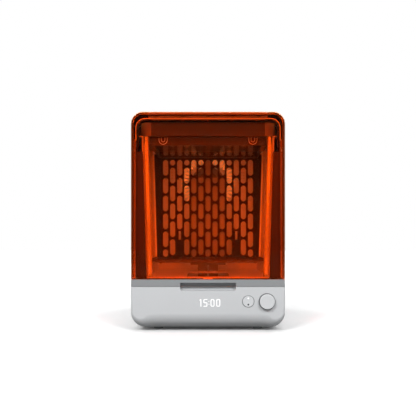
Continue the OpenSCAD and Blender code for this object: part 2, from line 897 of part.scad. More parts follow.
module rail_magnets() {
    color("#c4c6c8") placed() for (side = [-1, 1])
        translate([side * magnet_x, magnet_y, door_z]) cylinder(d = magnet_d, h = magnet_h);
}

module base_magnets() {
    color("#c4c6c8") placed() for (side = [-1, 1])
        translate([side * magnet_x, magnet_y, base_top - magnet_h]) cylinder(d = magnet_d, h = magnet_h);
}

// Turned from a drawing of radius and height, hollow behind its face
module knob() {
    color("#d1d3d5") placed() translate([knob_x, knob_rear, control_z]) rotate([90, 0, 0])
        rotate_extrude() difference() {
            union() {
                square([knob_d / 2, knob_l - knob_edge_r]);
                square([knob_d / 2 - knob_edge_r, knob_l]);
                translate([knob_d / 2 - knob_edge_r, knob_l - knob_edge_r]) circle(knob_edge_r);
            }
            translate([-over, -over]) square([shaft_d / 2 + fit + over, knob_l - 1]);
            translate([shaft_d / 2 + 2, -over]) square([(knob_d - shaft_d) / 2 - 4, 3]);
        }
}

module knob_shaft() {
    color("#b8babc") placed()
        rod_y(knob_x, control_z, shaft_d, 2 - knob_proud, rotor_y + rotor_t + 2);
}

module encoder_rotor() {
    color("#c2a14d") placed() difference() {
        rod_y(knob_x, control_z, rotor_d, rotor_y, rotor_y + rotor_t);
        rod_y(knob_x, control_z, shaft_d + 2 * run, rotor_y - over, rotor_y + rotor_t + over);
    }
}

module encoder() {
    color("#3a3d40") placed() difference() {
        union() {
            block(knob_x - encoder_side / 2, knob_x + encoder_side / 2, encoder_y, board_y,
                control_z - encoder_side / 2, control_z + encoder_side / 2);
            rod_y(knob_x, control_z, bushing_d, cup_depth + 0.3, encoder_y + over);
        }
        rod_y(knob_x, control_z, shaft_d + 2 * run, 0, board_y - over);
        rod_y(knob_x, control_z, rotor_d + 2 * gap, rotor_y - gap, rotor_y + rotor_t + gap);
    }
}

module mode_button() {
    color("#d1d3d5") placed() difference() {
        union() {
            rod_y(button_x, control_z, button_d, -button_proud, button_seat + button_flange);
            rod_y(button_x, control_z, button_d + 3, button_seat, button_seat + button_flange);
            rod_y(button_x, control_z, stem_d, button_seat, stem_end);
        }
        for (side = [-1, 1])
            rod_y(button_x, control_z + side * mark_offset, mark_d + 2 * fit,
                -button_proud - over, mark_seat);
    }
}

// The lit mark above and the dark mark below
module mode_marks() {
    placed() {
        color("white") rod_y(button_x, control_z + mark_offset, mark_d, -button_proud, mark_seat);
        color("#6d7073") rod_y(button_x, control_z - mark_offset, mark_d, -button_proud, mark_seat);
    }
}

module mode_switch() {
    color("#2e3033") placed() {
        block(button_x - switch_side / 2, button_x + switch_side / 2, board_y - switch_h, board_y,
            control_z - switch_side / 2, control_z + switch_side / 2);
        rod_y(button_x, control_z, switch_d, board_y - switch_h - switch_travel, board_y - switch_h);
    }
}

module display_figures() {
    color("white") placed() along_y(0, shell_wall) reading();
}

module display_module() {
    color("#232528") placed()
        block(display_x - display_w / 2 - 3, display_x + display_w / 2 + 3, shell_wall, board_y,
            control_z - figure_h / 2 - 4, control_z + figure_h / 2);
}

module control_board() {
    color("#1f6b45") placed() difference() {
        union() {
            block(board_left, board_right, board_y, board_y + board_t,
                control_z - board_half_h, control_z + board_half_h);
            for (x = [display_x - 16, display_x + 4, button_x - 6, knob_x - 12])
                block(x, x + chip, board_y + board_t, board_y + board_t + 3,
                    control_z - chip / 2, control_z + chip / 2);
        }
        for (x = board_screw_x, z = board_screw_z)
            rod_y(x, z, screw_d + 2 * fit, board_y - over, board_y + board_t + over);
    }
}

module power_supply() {
    color("#b4b6b8") placed() difference() {
        block(-supply_w - 8, -8, body_d - supply_l - 60, body_d - 60, shell_floor,
            shell_floor + supply_h);
        for (i = [0:7])
            block(-supply_w - 8 + 12, -8 - 12, body_d - supply_l - 46 + 15 * i,
                body_d - supply_l - 41 + 15 * i, shell_floor + supply_h - 2,
                shell_floor + supply_h + over);
    }
}

// Opening of the rocker, drawn in depth and Z
module rocker_cavity() {
    reach = rocker_half + 1.4;
    translate([rocker_y - reach, inlet_z - reach]) square([reach + 10, 2 * reach]);
}

module mains_inlet() {
    color("#1d1e20") placed() difference() {
        union() {
            block(bezel_left, bezel_right, body_d, body_d + bezel_t, inlet_z - bezel_half_h,
                inlet_z + bezel_half_h);
            block(bezel_left + bezel_rim + gap, bezel_right - bezel_rim - gap, body_d - inlet_body,
                body_d + over, inlet_z - bezel_half_h + bezel_rim + gap,
                inlet_z + bezel_half_h - bezel_rim - gap);
        }
        along_y(body_d + bezel_t - socket_depth, body_d + bezel_t + over) difference() {
            translate([inlet_x - inlet_w / 2, inlet_z - inlet_h / 2]) square([inlet_w, inlet_h]);
            for (side = [-1, 1])
                translate([inlet_x + side * inlet_w / 2, inlet_z + inlet_h / 2]) rotate(45)
                    square([6, 6], center = true);
        }
        for (p = inlet_pin_places)
            rod_y(p[0], p[1], pin_size + 2 * fit, body_d - inlet_body - over,
                body_d + bezel_t - socket_depth + over);
        along_x(rocker_x - rocker_w / 2 - gap, rocker_x + rocker_w / 2 + gap) rocker_cavity();
        rod_axle(axle_d + 2 * run, rocker_w / 2 + 2.5);
    }
}

// Axle of the rocker, along X
module rod_axle(d, half) {
    translate([rocker_x - half, rocker_y, inlet_z]) rotate([0, 90, 0]) cylinder(d = d, h = 2 * half);
}

module inlet_pins() {
    color("#c9b26b") placed() for (p = inlet_pin_places)
        rod_y(p[0], p[1], pin_size, body_d - inlet_body - 4, body_d - 3);
}

module power_rocker() {
    color("#17181a") placed() {
        translate([rocker_x - rocker_w / 2, rocker_y, inlet_z]) rotate([-rocker_tilt, 0, 0])
            rotate([90, 0, 90]) linear_extrude(rocker_w)
                polygon([
                    [-3, -4], [-3, 4], [4, rocker_half - 1], [7, rocker_half], [5.4, 0],
                    [7, -rocker_half], [4, 1 - rocker_half]
                ]);
        rod_axle(axle_d, rocker_w / 2 + 2);
    }
}

// The right-hand reflector: a sheet that leans outwards, with a flange at its top
module side_reflector() {
    top = ceiling_z;
    color("#d9dadc") placed() along_y(frame_rear, rear_y) polygon([
        [wall_x(floor_z), floor_z], [wall_x(floor_z) + bright, floor_z],
        [wall_x(top) + bright, top - bright], [wall_x(top) + wall_flange, top - bright],
        [wall_x(top) + wall_flange, top], [wall_x(top), top]
    ]);
}

module side_reflector_left() mirror([1, 0, 0]) side_reflector();
module side_reflector_right() side_reflector();

module floor_pan() {
    color("#d9dadc") placed() difference() {
        union() {
            block(-pan_half, pan_half, frame_rear, rear_y + bright, floor_z - bright, floor_z);
            block(-floor_half + gap, floor_half - gap, frame_y - pan_lip, frame_rear + over,
                floor_z - bright, floor_z);
            block(-floor_half + gap, floor_half - gap, frame_y - pan_lip, frame_y, floor_z - 4, floor_z);
            for (side = [-1, 1])
                block(side * (pan_half - pan_lip / 2) - pan_lip / 2,
                    side * (pan_half - pan_lip / 2) + pan_lip / 2, frame_rear, rear_y + bright,
                    base_top + sheet, floor_z);
        }
        block(-floor_lamp_w / 2, floor_lamp_w / 2, floor_lamp_y, floor_lamp_y + floor_lamp_l,
            floor_z - bright - over, floor_z + over);
    }
}

module ceiling_panel() {
    color("#d9dadc") placed()
        block(-ceiling_half - wall_flange, ceiling_half + wall_flange, lamp_end + 0.5,
            rear_y + bright, ceiling_z, ceiling_z + bright);
}

module rear_reflector() {
    low = wall_x(floor_z) + bright;
    high = wall_x(ceiling_z) + bright;
    color("#cfd0d2") placed() difference() {
        along_y(rear_y, rear_y + bright) difference() {
            polygon([[-low, floor_z], [low, floor_z], [high, ceiling_z], [-high, ceiling_z]]);
            for (side = [-1, 1], i = [-4:4], j = [-4:4])
                if (norm([i, j]) * vent_pitch < exhaust_bore / 2 - 9)
                    translate([side * exhaust_x + vent_pitch * i, exhaust_z - 10 + vent_pitch * j])
                        circle(d = vent_hole);
        }
    }
}

module tray() {
    low = tray_z - tray_t;
    color("#9a7f72") placed() {
        along_y(tray_front, tray_front + tray_t) polygon([
            [-tray_half, low], [-tray_half, tray_z], [tray_half, tray_z], [tray_half, low],
            [lip_half, tray_z - lip_h], [-lip_half, tray_z - lip_h]
        ]);
        along_z(low, tray_z) difference() {
            translate([-tray_half, tray_front]) square([2 * tray_half, tray_rear - tray_front]);
            for (i = [-4:4], j = [0:3])
                translate([tray_hole_pitch[0] * i - tray_hole[0] / 2,
                    tray_front + 20 + tray_hole_pitch[1] * j]) square(tray_hole);
        }
        both_sides() translate([lip_half, tray_front + 2, tray_z - lip_h - 1])
            cylinder(d = bumper_d, h = lip_h);
    }
}

module tray_ledges() {
    leg = ledge_z - ledge_leg;
    top_x = wall_x(ledge_z) - fit;
    leg_x = wall_x(leg) - fit;
    color("#c9cacc") placed() along_y(tray_front + 14, tray_rear - 6) both_sides() polygon([
        [top_x - ledge_w, ledge_z], [top_x, ledge_z], [leg_x, leg], [leg_x - bright, leg],
        [wall_x(ledge_z - bright) - bright - fit, ledge_z - bright],
        [top_x - ledge_w, ledge_z - bright]
    ]);
}

// Slot with round ends between two heights
module baffle_slot(x, z0, z1) {
    r = slot_w / 2;
    translate([x, z0 + r]) circle(r);
    translate([x, z1 - r]) circle(r);
    if (z1 - z0 > slot_w) translate([x - r, z0 + r]) square([slot_w, z1 - z0 - slot_w]);
}

// Slots of the baffle, drawn in X and Z: every second column is shifted down, and two
// columns stop early above a small opening
module slot_pattern() {
    middle = (columns - 1) / 2;
    top = field_z + field_h;
    for (i = [0:columns - 1]) {
        x = (i - middle) * slot_pitch_x;
        shift = i % 2 == 0 ? 0 : stagger;
        count = abs(i - middle) == short_column ? short_column : ceil(field_h / slot_pitch_z) + 1;
        for (k = [-1:count - 1]) {
            z1 = min(top, top - shift - k * slot_pitch_z);
            z0 = max(field_z, top - shift - k * slot_pitch_z - slot_l);
            if (z1 - z0 > slot_w) baffle_slot(x, z0, z1);
        }
        if (count == short_column) translate([x - 2.5, field_z + 36]) square([5, 18]);
    }
}

module slotted_baffle() {
    low = wall_x(baffle_z) - baffle_gap;
    high = wall_x(baffle_top) - baffle_gap;
    color("#a5704f") placed() along_y(baffle_y, baffle_y + baffle_t) difference() {
        polygon([[-low, baffle_z], [low, baffle_z], [high, baffle_top], [-high, baffle_top]]);
        slot_pattern();
    }
}

// Strip along the inner face of a side reflector, drawn in X and Z
module wall_strip(w) {
    polygon([
        [wall_x(baffle_z), baffle_z], [wall_x(baffle_top), baffle_top],
        [wall_x(baffle_top) - w, baffle_top], [wall_x(baffle_z) - w, baffle_z]
    ]);
}

// Angles that fix the baffle to the side reflectors
module baffle_angles() {
    color("#c9cacc") placed() both_sides() {
        along_y(baffle_y + baffle_t, baffle_y + baffle_t + bright) wall_strip(angle_face);
        along_y(baffle_y + baffle_t, baffle_y + baffle_t + angle_leg) wall_strip(bright);
    }
}

// Lamp housing's plan, drawn in X and depth
module lamp_outline(inset) {
    outline(2 * (lamp_half - inset), lamp_y + inset, lamp_end - inset, lamp_r - inset, 0);
}

module lamp_housing() {
    color("#3b3d40") placed() difference() {
        along_z(ceiling_z, lamp_top) lamp_outline(0);
        along_z(ceiling_z + sheet, lamp_top - sheet) lamp_outline(sheet);
        block(-lens_half + lamp_opening, lens_half - lamp_opening, lens_y + lamp_opening,
            lens_end - lamp_opening, ceiling_z - over, ceiling_z + sheet + over);
    }
}

// Diodes on a grid, centred in a rectangle of X and depth, between two heights
module diodes(half, y0, y1, z0, z1) {
    nx = floor(half / diode_pitch - 0.3);
    ny = floor((y1 - y0) / diode_pitch / 2 - 0.3);
    mid = (y0 + y1) / 2;
    for (i = [-nx:nx], j = [-ny:ny])
        block(i * diode_pitch - diode / 2, i * diode_pitch + diode / 2,
            mid + j * diode_pitch - diode / 2, mid + j * diode_pitch + diode / 2, z0, z1);
}

module upper_lamp() {
    opening = lens_half - lamp_opening - 2;
    y0 = lens_y + lamp_opening + 2;
    y1 = lens_end - lamp_opening - 2;
    plate = ceiling_z + sheet;
    fin_w = 2 * opening / (2 * fins - 1);
    color("#d8d9db") placed() {
        block(-lens_half, lens_half, lens_y, lens_end, plate, plate + 3);
        block(-opening, opening, y0, y1, plate - 1.5, plate + over);
        diodes(opening, y0, y1, plate - 1.5 - diode_h, plate - 1.5 + 0.1);
        for (i = [0:fins - 1])
            block(-opening + 2 * i * fin_w, -opening + (2 * i + 1) * fin_w, y0, y1,
                plate + 2.9, lamp_top - sheet - 2);
    }
}

module lens_frame() {
    color("#6b6d70") placed() difference() {
        block(-lens_half, lens_half, lens_y, lens_end, lens_z, ceiling_z);
        block(-lens_half + lens_wall, lens_half - lens_wall, lens_y + lens_wall,
            lens_end - lens_wall, lens_z + sheet, ceiling_z + over);
        block(-lens_half + lens_lip, lens_half - lens_lip, lens_y + lens_lip,
            lens_end - lens_lip, lens_z - over, ceiling_z);
    }
}

module lens_glass() {
    color([0.75, 0.85, 0.9, 0.4]) placed()
        block(-lens_half + lens_wall + gap, lens_half - lens_wall - gap, lens_y + lens_wall + gap,
            lens_end - lens_wall - gap, lens_z + sheet, lens_z + sheet + glass);
}

// Hooks in the form of a U that hold the lens frame
module lens_clips() {
    r = clip_w / 2;
    middle = ceiling_z - lens_h + r + 1;
    color("#55575a") placed() along_y(lens_y - clip_t, lens_y) both_sides()
        translate([clip_x, middle]) difference() {
            union() {
                circle(r);
                translate([-r, 0]) square([clip_w, ceiling_z - middle]);
            }
            translate([-r, ceiling_z - middle]) square([clip_w, clip_w]);
            circle(clip_slot / 2);
            translate([-clip_slot / 2, 0]) square([clip_slot, ceiling_z - middle + over]);
        }
}

module lamp_brackets() {
    t = 1.2;
    tip = 8;
    bend = 3;
    color("#b9bbbd") placed() both_sides() {
        along_y(lamp_y, lamp_y + bracket_l) polygon([
            [bracket_x, bracket_high], [bracket_x + t, bracket_high],
            [bracket_x + t, bracket_low + tip], [bracket_x + bend + t, bracket_low],
            [bracket_x + bend, bracket_low], [bracket_x, bracket_low + tip]
        ]);
        block(lamp_half, bracket_x + t / 2, lamp_y + lamp_r, lamp_y + lamp_r + 3,
            ceiling_z + 5, lamp_top - 5);
    }
}

module floor_lamp() {
    half = floor_lamp_w / 2 + lamp_rim;
    y0 = floor_lamp_y - lamp_rim;
    y1 = floor_lamp_y + floor_lamp_l + lamp_rim;
    rim_z = floor_z - bright - glass;
    color("#d8d9db") placed() {
        difference() {
            block(-half, half, y0, y1, base_top, rim_z);
            block(-half + 3, half - 3, y0 + 3, y1 - 3, base_top + lamp_floor_t, rim_z + over);
        }
        diodes(half - 3, y0, y1, base_top + lamp_floor_t - 0.1, base_top + lamp_floor_t + diode_h);
    }
}

module floor_glass() {
    half = floor_lamp_w / 2 + lamp_rim - 1;
    color([0.75, 0.85, 0.9, 0.4]) placed()
        block(-half, half, floor_lamp_y - lamp_rim + 1, floor_lamp_y + floor_lamp_l + lamp_rim - 1,
            floor_z - bright - glass, floor_z - bright);
}

module fan_bracket() {
    plate_z = floor_z + 13;
    neck = 8.5;
    leg_w = 19.5;
    color("#8b8d90") placed() along_y(fan_bracket_y, motor_y) {
        translate([-bracket_half, plate_z]) square([2 * bracket_half, fan_z + 10 - plate_z]);
        translate([-neck, fan_z]) square([2 * neck, ceiling_z - fan_z]);
        for (x = [-21, 1.5]) translate([x, floor_z]) square([leg_w, plate_z - floor_z + over]);
    }
}

module fan_motor() {
    color("#4a4c50") placed() difference() {
        union() {
            rod_y(0, fan_z, motor_d, motor_y, motor_y + motor_l - 3);
            rod_y(0, fan_z, motor_d - 8, motor_y, motor_y + motor_l);
        }
        rod_y(0, fan_z, fan_shaft_d + 2 * run, motor_y + 8, motor_y + motor_l + over);
    }
}

module circulation_fan() {
    color("#9fa1a4") placed() {
        rod_y(0, fan_z, fan_shaft_d, motor_y + 9, impeller_y + impeller_t);
        rod_y(0, fan_z, 14, impeller_y, impeller_y + impeller_t);
        rod_y(0, fan_z, 2 * impeller_r, impeller_y + impeller_t - 1.5, impeller_y + impeller_t);
        for (i = [0:blades - 1])
            translate([0, 0, fan_z]) rotate([0, 360 / blades * i, 0]) translate([5, 0, 0])
                rotate([0, 25, 0])
                    block(0, (impeller_r - 6) * 0.98, impeller_y, impeller_y + impeller_t - 1, -0.7, 0.7);
    }
}

// Points of the heater's wire: curls round a ring that is open at the bottom
heater_open = 24;
heater_rings = 8 * heater_curls;
function heater_point(i) =
    let (
        ring = -90 + heater_open / 2 + (360 - heater_open) * i / heater_rings,
        curl = 360 * heater_curls * i / heater_rings,
        r = heater_ring_r + heater_coil_r * cos(curl)
    ) [r * cos(ring), heater_y + heater_coil_r * sin(curl), fan_z + r * sin(ring)];
heater_core = [for (i = [0:heater_rings]) heater_point(i)];
function unit(v) = v / norm(v);
heater_lead = heater_wire * unit(heater_core[1] - heater_core[0]);
heater_tail = heater_wire * unit(heater_core[heater_rings] - heater_core[heater_rings - 1]);
heater_path = concat(
    [heater_core[0] - heater_lead], heater_core, [heater_core[heater_rings] + heater_tail]
);

// Sides of the wire at one of its points, square to the wire
function heater_ring(i) =
    let (
        last = len(heater_path) - 1,
        p = heater_path[i],
        t = unit(heater_path[min(i + 1, last)] - heater_path[max(i - 1, 0)]),
        c = unit([p[0], 0, p[2] - fan_z]) * heater_ring_r + [0, heater_y, fan_z],
        n0 = p - c,
        n = unit(n0 - (n0 * t) * t),
        b = cross(t, n)
    ) [for (k = [0:5]) p + heater_wire / 2 * (n * cos(60 * k) + b * sin(60 * k))];

// Least distance between two stretches of the wire that are over half a curl apart
function heater_self_gap() = min([
    for (i = [0:heater_rings - 5], j = [i + 5:min(i + 12, heater_rings)])
        norm(heater_core[i] - heater_core[j])
]) - heater_wire;

module heater_coil() {
    echo("least gap between the heater's curls", heater_self_gap());
    rings = len(heater_path);
    color("#e8c9b8") placed() polyhedron(
        points = [for (i = [0:rings - 1]) each heater_ring(i)],
        faces = concat(
            [[for (k = [0:5]) k]],
            [
                for (i = [0:rings - 2], k = [0:5])
                    each [
                        [6 * i + k, 6 * i + 6 + k, 6 * i + 6 + (k + 1) % 6],
                        [6 * i + k, 6 * i + 6 + (k + 1) % 6, 6 * i + (k + 1) % 6]
                    ]
            ],
            [[for (k = [5:-1:0]) 6 * (rings - 1) + k]]
        )
    );
}

module heater_posts() {
    post_y = heater_y + heater_coil_r + heater_wire / 2 + gap;
    color("#e9e4da") placed() for (a = [45, 135, 225, 315])
        rod_y(heater_ring_r * cos(a), fan_z + heater_ring_r * sin(a), post_d, post_y, rear_y);
}

module exhaust_frames() {
    color("#232427") placed() for (side = [-1, 1]) {
        difference() {
            block(side * exhaust_x - exhaust_side / 2, side * exhaust_x + exhaust_side / 2, exhaust_y,
                panel_y, exhaust_z - exhaust_side / 2, exhaust_z + exhaust_side / 2);
            rod_y(side * exhaust_x, exhaust_z, exhaust_bore, exhaust_y - over, panel_y + over);
        }
        rod_y(side * exhaust_x, exhaust_z, hub_d, exhaust_y, exhaust_y + 2.5);
        rod_y(side * exhaust_x, exhaust_z, arbor_d, exhaust_y, panel_y - 4);
        for (a = [30, 150, 270])
            translate([side * exhaust_x, 0, exhaust_z]) rotate([0, a, 0])
                block(hub_d / 2 - 1, exhaust_bore / 2 + 0.8, exhaust_y, exhaust_y + 2.5, -2, 2);
    }
}

module exhaust_rotor(x) {
    y0 = exhaust_y + 3;
    y1 = panel_y - 2.5;
    color("#303236") placed() difference() {
        union() {
            rod_y(x, exhaust_z, hub_d, y0, y1);
            for (i = [0:blades - 1])
                translate([x, (y0 + y1) / 2, exhaust_z]) rotate([0, 360 / blades * i, 0])
                    rotate([35, 0, 0])
                        block(hub_d / 2 - 1.5, exhaust_bore / 2 - 1.2, -0.8, 0.8, -7.5, 7.5);
        }
        rod_y(x, exhaust_z, arbor_d + 2 * run, y0 - over, panel_y - 4 + 0.5);
    }
}

module exhaust_rotor_left() exhaust_rotor(-exhaust_x);
module exhaust_rotor_right() exhaust_rotor(exhaust_x);

module finger_guards() {
    wire_y = body_d + guard_proud - guard_wire / 2;
    corner = (exhaust_side - 8) / 2;
    color("#c9cbcd") placed() for (side = [-1, 1])
        translate([side * exhaust_x, 0, exhaust_z]) {
            for (r = [10, 18, 26]) difference() {
                rod_y(0, 0, 2 * r + guard_wire, wire_y - guard_wire / 2, wire_y + guard_wire / 2);
                rod_y(0, 0, 2 * r - guard_wire, wire_y - guard_wire, wire_y + guard_wire);
            }
            for (a = [45, 135]) translate([0, wire_y, 0]) rotate([0, a, 0])
                translate([-corner * sqrt(2), 0, 0]) rotate([0, 90, 0])
                    cylinder(d = guard_wire, h = 2 * corner * sqrt(2));
            for (x = [-corner, corner], z = [-corner, corner])
                rod_y(x, z, 4, body_d, body_d + guard_proud - 0.2);
        }
}

base_shell();
foot_front_left();
foot_front_right();
foot_rear_left();
foot_rear_right();
foot_screws();
deck();
casing();
chassis_screws();
front_frame();
rear_panel();
door_window();
door_rail();
door_seal();
hinge_leaf_door();
hinge_leaf_casing();
hinge_pin();
door_screws();
rail_magnets();
base_magnets();
knob();
knob_shaft();
encoder_rotor();
encoder();
mode_button();
mode_marks();
mode_switch();
display_figures();
display_module();
control_board();
power_supply();
mains_inlet();
inlet_pins();
power_rocker();
side_reflector_left();
side_reflector_right();
floor_pan();
ceiling_panel();
rear_reflector();
tray();
tray_ledges();
slotted_baffle();
baffle_angles();
lamp_housing();
upper_lamp();
lens_frame();
lens_glass();
lens_clips();
lamp_brackets();
floor_lamp();
floor_glass();
fan_bracket();
fan_motor();
circulation_fan();
heater_coil();
heater_posts();
exhaust_frames();
exhaust_rotor_left();
exhaust_rotor_right();
finger_guards();
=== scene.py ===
"""Looks of a bench-top light curing unit: an orange lift-up window over a light grey base.

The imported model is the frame. Pieces made here are surfaces worked out with numpy on the
frame's own boxes, in metres, and every material is a node-based one named after what it is.
"""
import math

import bmesh
import bpy
import numpy as np
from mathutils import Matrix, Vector

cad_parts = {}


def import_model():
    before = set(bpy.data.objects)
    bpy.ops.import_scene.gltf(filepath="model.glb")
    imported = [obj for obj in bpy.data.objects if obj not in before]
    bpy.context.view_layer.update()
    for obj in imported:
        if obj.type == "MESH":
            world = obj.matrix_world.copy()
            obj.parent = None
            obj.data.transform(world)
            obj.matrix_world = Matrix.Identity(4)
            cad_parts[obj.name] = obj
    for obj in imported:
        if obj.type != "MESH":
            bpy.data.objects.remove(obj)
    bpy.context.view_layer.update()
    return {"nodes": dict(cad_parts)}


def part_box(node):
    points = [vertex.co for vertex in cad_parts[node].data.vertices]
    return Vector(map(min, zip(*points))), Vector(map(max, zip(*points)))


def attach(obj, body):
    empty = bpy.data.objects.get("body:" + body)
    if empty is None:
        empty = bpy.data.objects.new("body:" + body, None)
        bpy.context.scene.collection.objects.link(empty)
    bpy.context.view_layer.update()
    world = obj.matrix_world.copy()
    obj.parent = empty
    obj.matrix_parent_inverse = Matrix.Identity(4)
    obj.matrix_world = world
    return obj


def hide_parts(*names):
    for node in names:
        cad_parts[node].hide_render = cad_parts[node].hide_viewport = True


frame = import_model()
nodes = frame["nodes"]
MM = 0.001
# Angle between faces, in degrees, up to which a surface shades smooth
SMOOTH_UP_TO = 35

# Places and sizes that several pieces share, read from the frame
base_low, base_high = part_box("base_shell")
window_low, window_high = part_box("door_window")
FRONT = base_low.y
HALF_W = base_high.x
BASE_TOP = base_high.z
BODY_H = window_high.z
# The window's outer corner radius, flange and pane thickness, and half the hinge's length
CORNER = 20 * MM
FLANGE = 3 * MM
PANE = 3.5 * MM
HINGE_HALF = 103.5 * MM


def places(low, high):
    """Middle of a box as (x, depth behind the front face, z)."""
    return (low.x + high.x) / 2, (low.y + high.y) / 2 - FRONT, (low.z + high.z) / 2


# Helpers for meshes

def mesh_piece(name, verts, faces, material, smooth_angle=SMOOTH_UP_TO):
    """One piece from an (n, 3) array of points and a list of faces, smooth below an angle."""
    mesh = bpy.data.meshes.new(name)
    mesh.from_pydata(np.asarray(verts, float).reshape(-1, 3).tolist(), [], faces)
    mesh.validate()
    mesh.shade_smooth()
    mesh.set_sharp_from_angle(angle=math.radians(smooth_angle))
    mesh.materials.append(material)
    piece = bpy.data.objects.new(name, mesh)
    bpy.context.scene.collection.objects.link(piece)
    return piece


def grid_faces(rows, cols, close_rows=False, close_cols=False):
    """Quads between neighbours of a rows by cols grid of points, wrapped round where asked."""
    r = np.arange(rows if close_rows else rows - 1)[:, None]
    c = np.arange(cols if close_cols else cols - 1)[None, :]
    a, b = r * cols + c, (r + 1) % rows * cols + c
    d, e = r * cols + (c + 1) % cols, (r + 1) % rows * cols + (c + 1) % cols
    return np.stack([a, b, e, d], -1).reshape(-1, 4).tolist()


def arc(cx, cz, radius, start, end, steps):
    """Circle points (cx + r cos a, cz + r sin a) and their outward normals (cos a, sin a)."""
    a = np.radians(np.linspace(start, end, steps + 1))
    normal = np.column_stack([np.cos(a), np.sin(a)])
    return np.array([cx, cz]) + radius * normal, normal


def u_outline(half, near, far, radius, steps, stops=1):
    """U-shaped path in XZ, from its left end at height near round two corners at height far.

    The straight part at height far is divided into the given number of stops.
    """
    side = 1 if far > near else -1
    left, left_n = arc(-half + radius, far - side * radius, radius, 180, 180 - side * 90, steps)
    right, right_n = arc(half - radius, far - side * radius, radius, side * 90, 0, steps)
    straight = np.linspace(radius - half, half - radius, stops + 1)[1:-1]
    middle = np.column_stack([straight, np.full_like(straight, far)])
    points = np.vstack([[-half, near], left, middle, right, [half, near]])
    normals = np.vstack([[-1, 0], left_n, np.tile([0, side], (len(straight), 1)), right_n, [1, 0]])
    return points, normals


def carried(points, normals, inset, depth):
    """Profile carried along a path: point u, v is path(u) - normal(u) inset(u, v), depth(u, v)."""
    inset, depth = np.broadcast_arrays(inset, depth)
    inset = np.broadcast_to(inset, (len(points), inset.shape[-1]))
    depth = np.broadcast_to(depth, inset.shape)
    flat = points[:, None, :] - normals[:, None, :] * inset[..., None]
    return np.stack([flat[..., 0], FRONT + depth, flat[..., 1]], -1)


def shell_piece(name, outline, inset, depth, material, closed_front=True):
    """Closed shell: a profile of (inset, depth) carried along a U, with both ends capped.

    The profile runs from the outer front edge over the outside to the rear and back along
    the inside. With closed_front the front and the inner front are flat faces.
    """
    points, normals = outline
    grid = carried(points, normals, inset, depth)
    rows, cols = grid.shape[:2]
    faces = grid_faces(rows, cols, close_cols=not closed_front)
    first, last = np.arange(rows) * cols, np.arange(rows) * cols + cols - 1
    if closed_front:
        faces.append(first.tolist()[::-1])
        faces.append(last.tolist())
        ends = [list(range(cols)) + list(range((rows - 1) * cols, rows * cols))[::-1]]
    else:
        ends = [list(range(cols)), list(range((rows - 1) * cols, rows * cols))[::-1]]
    piece = mesh_piece(name, grid, faces + ends, material)
    return outward(piece)


def outward(piece):
    """Turns every face of a closed piece outwards."""
    bm = bmesh.new()
    bm.from_mesh(piece.data)
    bmesh.ops.remove_doubles(bm, verts=bm.verts, dist=1e-6)
    bmesh.ops.recalc_face_normals(bm, faces=bm.faces)
    bm.to_mesh(piece.data)
    bm.free()
    return piece


def revolved(name, axis_x, axis_z, profile, material, steps=96):
    """Solid of revolution about an axis along Y: (radius, depth) pairs turned all the way."""
    profile = np.asarray(profile, float)
    a = np.linspace(0, 2 * np.pi, steps, endpoint=False)[:, None]
    x = axis_x + profile[:, 0] * np.cos(a)
    z = axis_z + profile[:, 0] * np.sin(a)
    y = np.broadcast_to(FRONT + profile[:, 1], x.shape)
    cols = len(profile)
    faces = grid_faces(steps, cols, close_rows=True)
    faces.append((np.arange(steps) * cols).tolist())
    faces.append((np.arange(steps) * cols + cols - 1).tolist()[::-1])
    return outward(mesh_piece(name, np.stack([x, y, z], -1), faces, material))


def tube(path, radius, sides, closed=False, dome=False):
    """Round tube along a path: ring k is path(k) + radius (cos b N + sin b B).

    N is square to the path and to one leaning direction, and B is square to both. With dome
    each end runs on by r sin t with radius r cos t, as half a ball does.
    """
    path = np.asarray(path, float)
    reach = np.full(len(path), float(radius))
    if dome:
        t = np.radians(np.linspace(12, 84, 6))[:, None]
        start, end = path[0] - path[1], path[-1] - path[-2]
        start, end = start / np.linalg.norm(start), end / np.linalg.norm(end)
        rise = radius * np.sin(t)
        path = np.vstack([path[0] + start * rise[::-1], path, path[-1] + end * rise])
        reach = np.concatenate([radius * np.cos(t[::-1, 0]), reach, radius * np.cos(t[:, 0])])
    ahead = np.roll(path, -1, 0) - np.roll(path, 1, 0)
    if not closed:
        ahead[0], ahead[-1] = path[1] - path[0], path[-1] - path[-2]
    ahead /= np.linalg.norm(ahead, axis=1, keepdims=True)
    leaning = [0.3, 1.0, 0.2]
    side = np.cross(ahead, leaning)
    side /= np.linalg.norm(side, axis=1, keepdims=True)
    up = np.cross(ahead, side)
    b = np.linspace(0, 2 * np.pi, sides, endpoint=False)
    around = np.cos(b)[:, None] * side[:, None] + np.sin(b)[:, None] * up[:, None]
    ring = path[:, None] + reach[:, None, None] * around
    faces = grid_faces(len(path), sides, close_rows=closed, close_cols=True)
    if not closed:
        last = (len(path) - 1) * sides
        faces += [list(range(sides)), list(range(last, last + sides))[::-1]]
    return ring.reshape(-1, 3), faces


def bent(corners, radius, closed=False):
    """Path whose corners are quadratic curves from radius before each corner to radius after."""
    corners = np.asarray(corners, float)
    before = np.roll(corners, 1, 0) - corners
    after = np.roll(corners, -1, 0) - corners
    lengths = [np.linalg.norm(v, axis=1, keepdims=True) for v in (before, after)]
    start, end = (corners + v / n * np.minimum(radius, n / 2)
                  for v, n in zip((before, after), lengths))
    t = np.linspace(0, 1, 7)[:, None, None]
    curves = (1 - t) ** 2 * start + 2 * t * (1 - t) * corners + t ** 2 * end
    curves = curves.transpose(1, 0, 2)
    if closed:
        return curves.reshape(-1, corners.shape[1])
    return np.vstack([corners[:1], curves[1:-1].reshape(-1, corners.shape[1]), corners[-1:]])


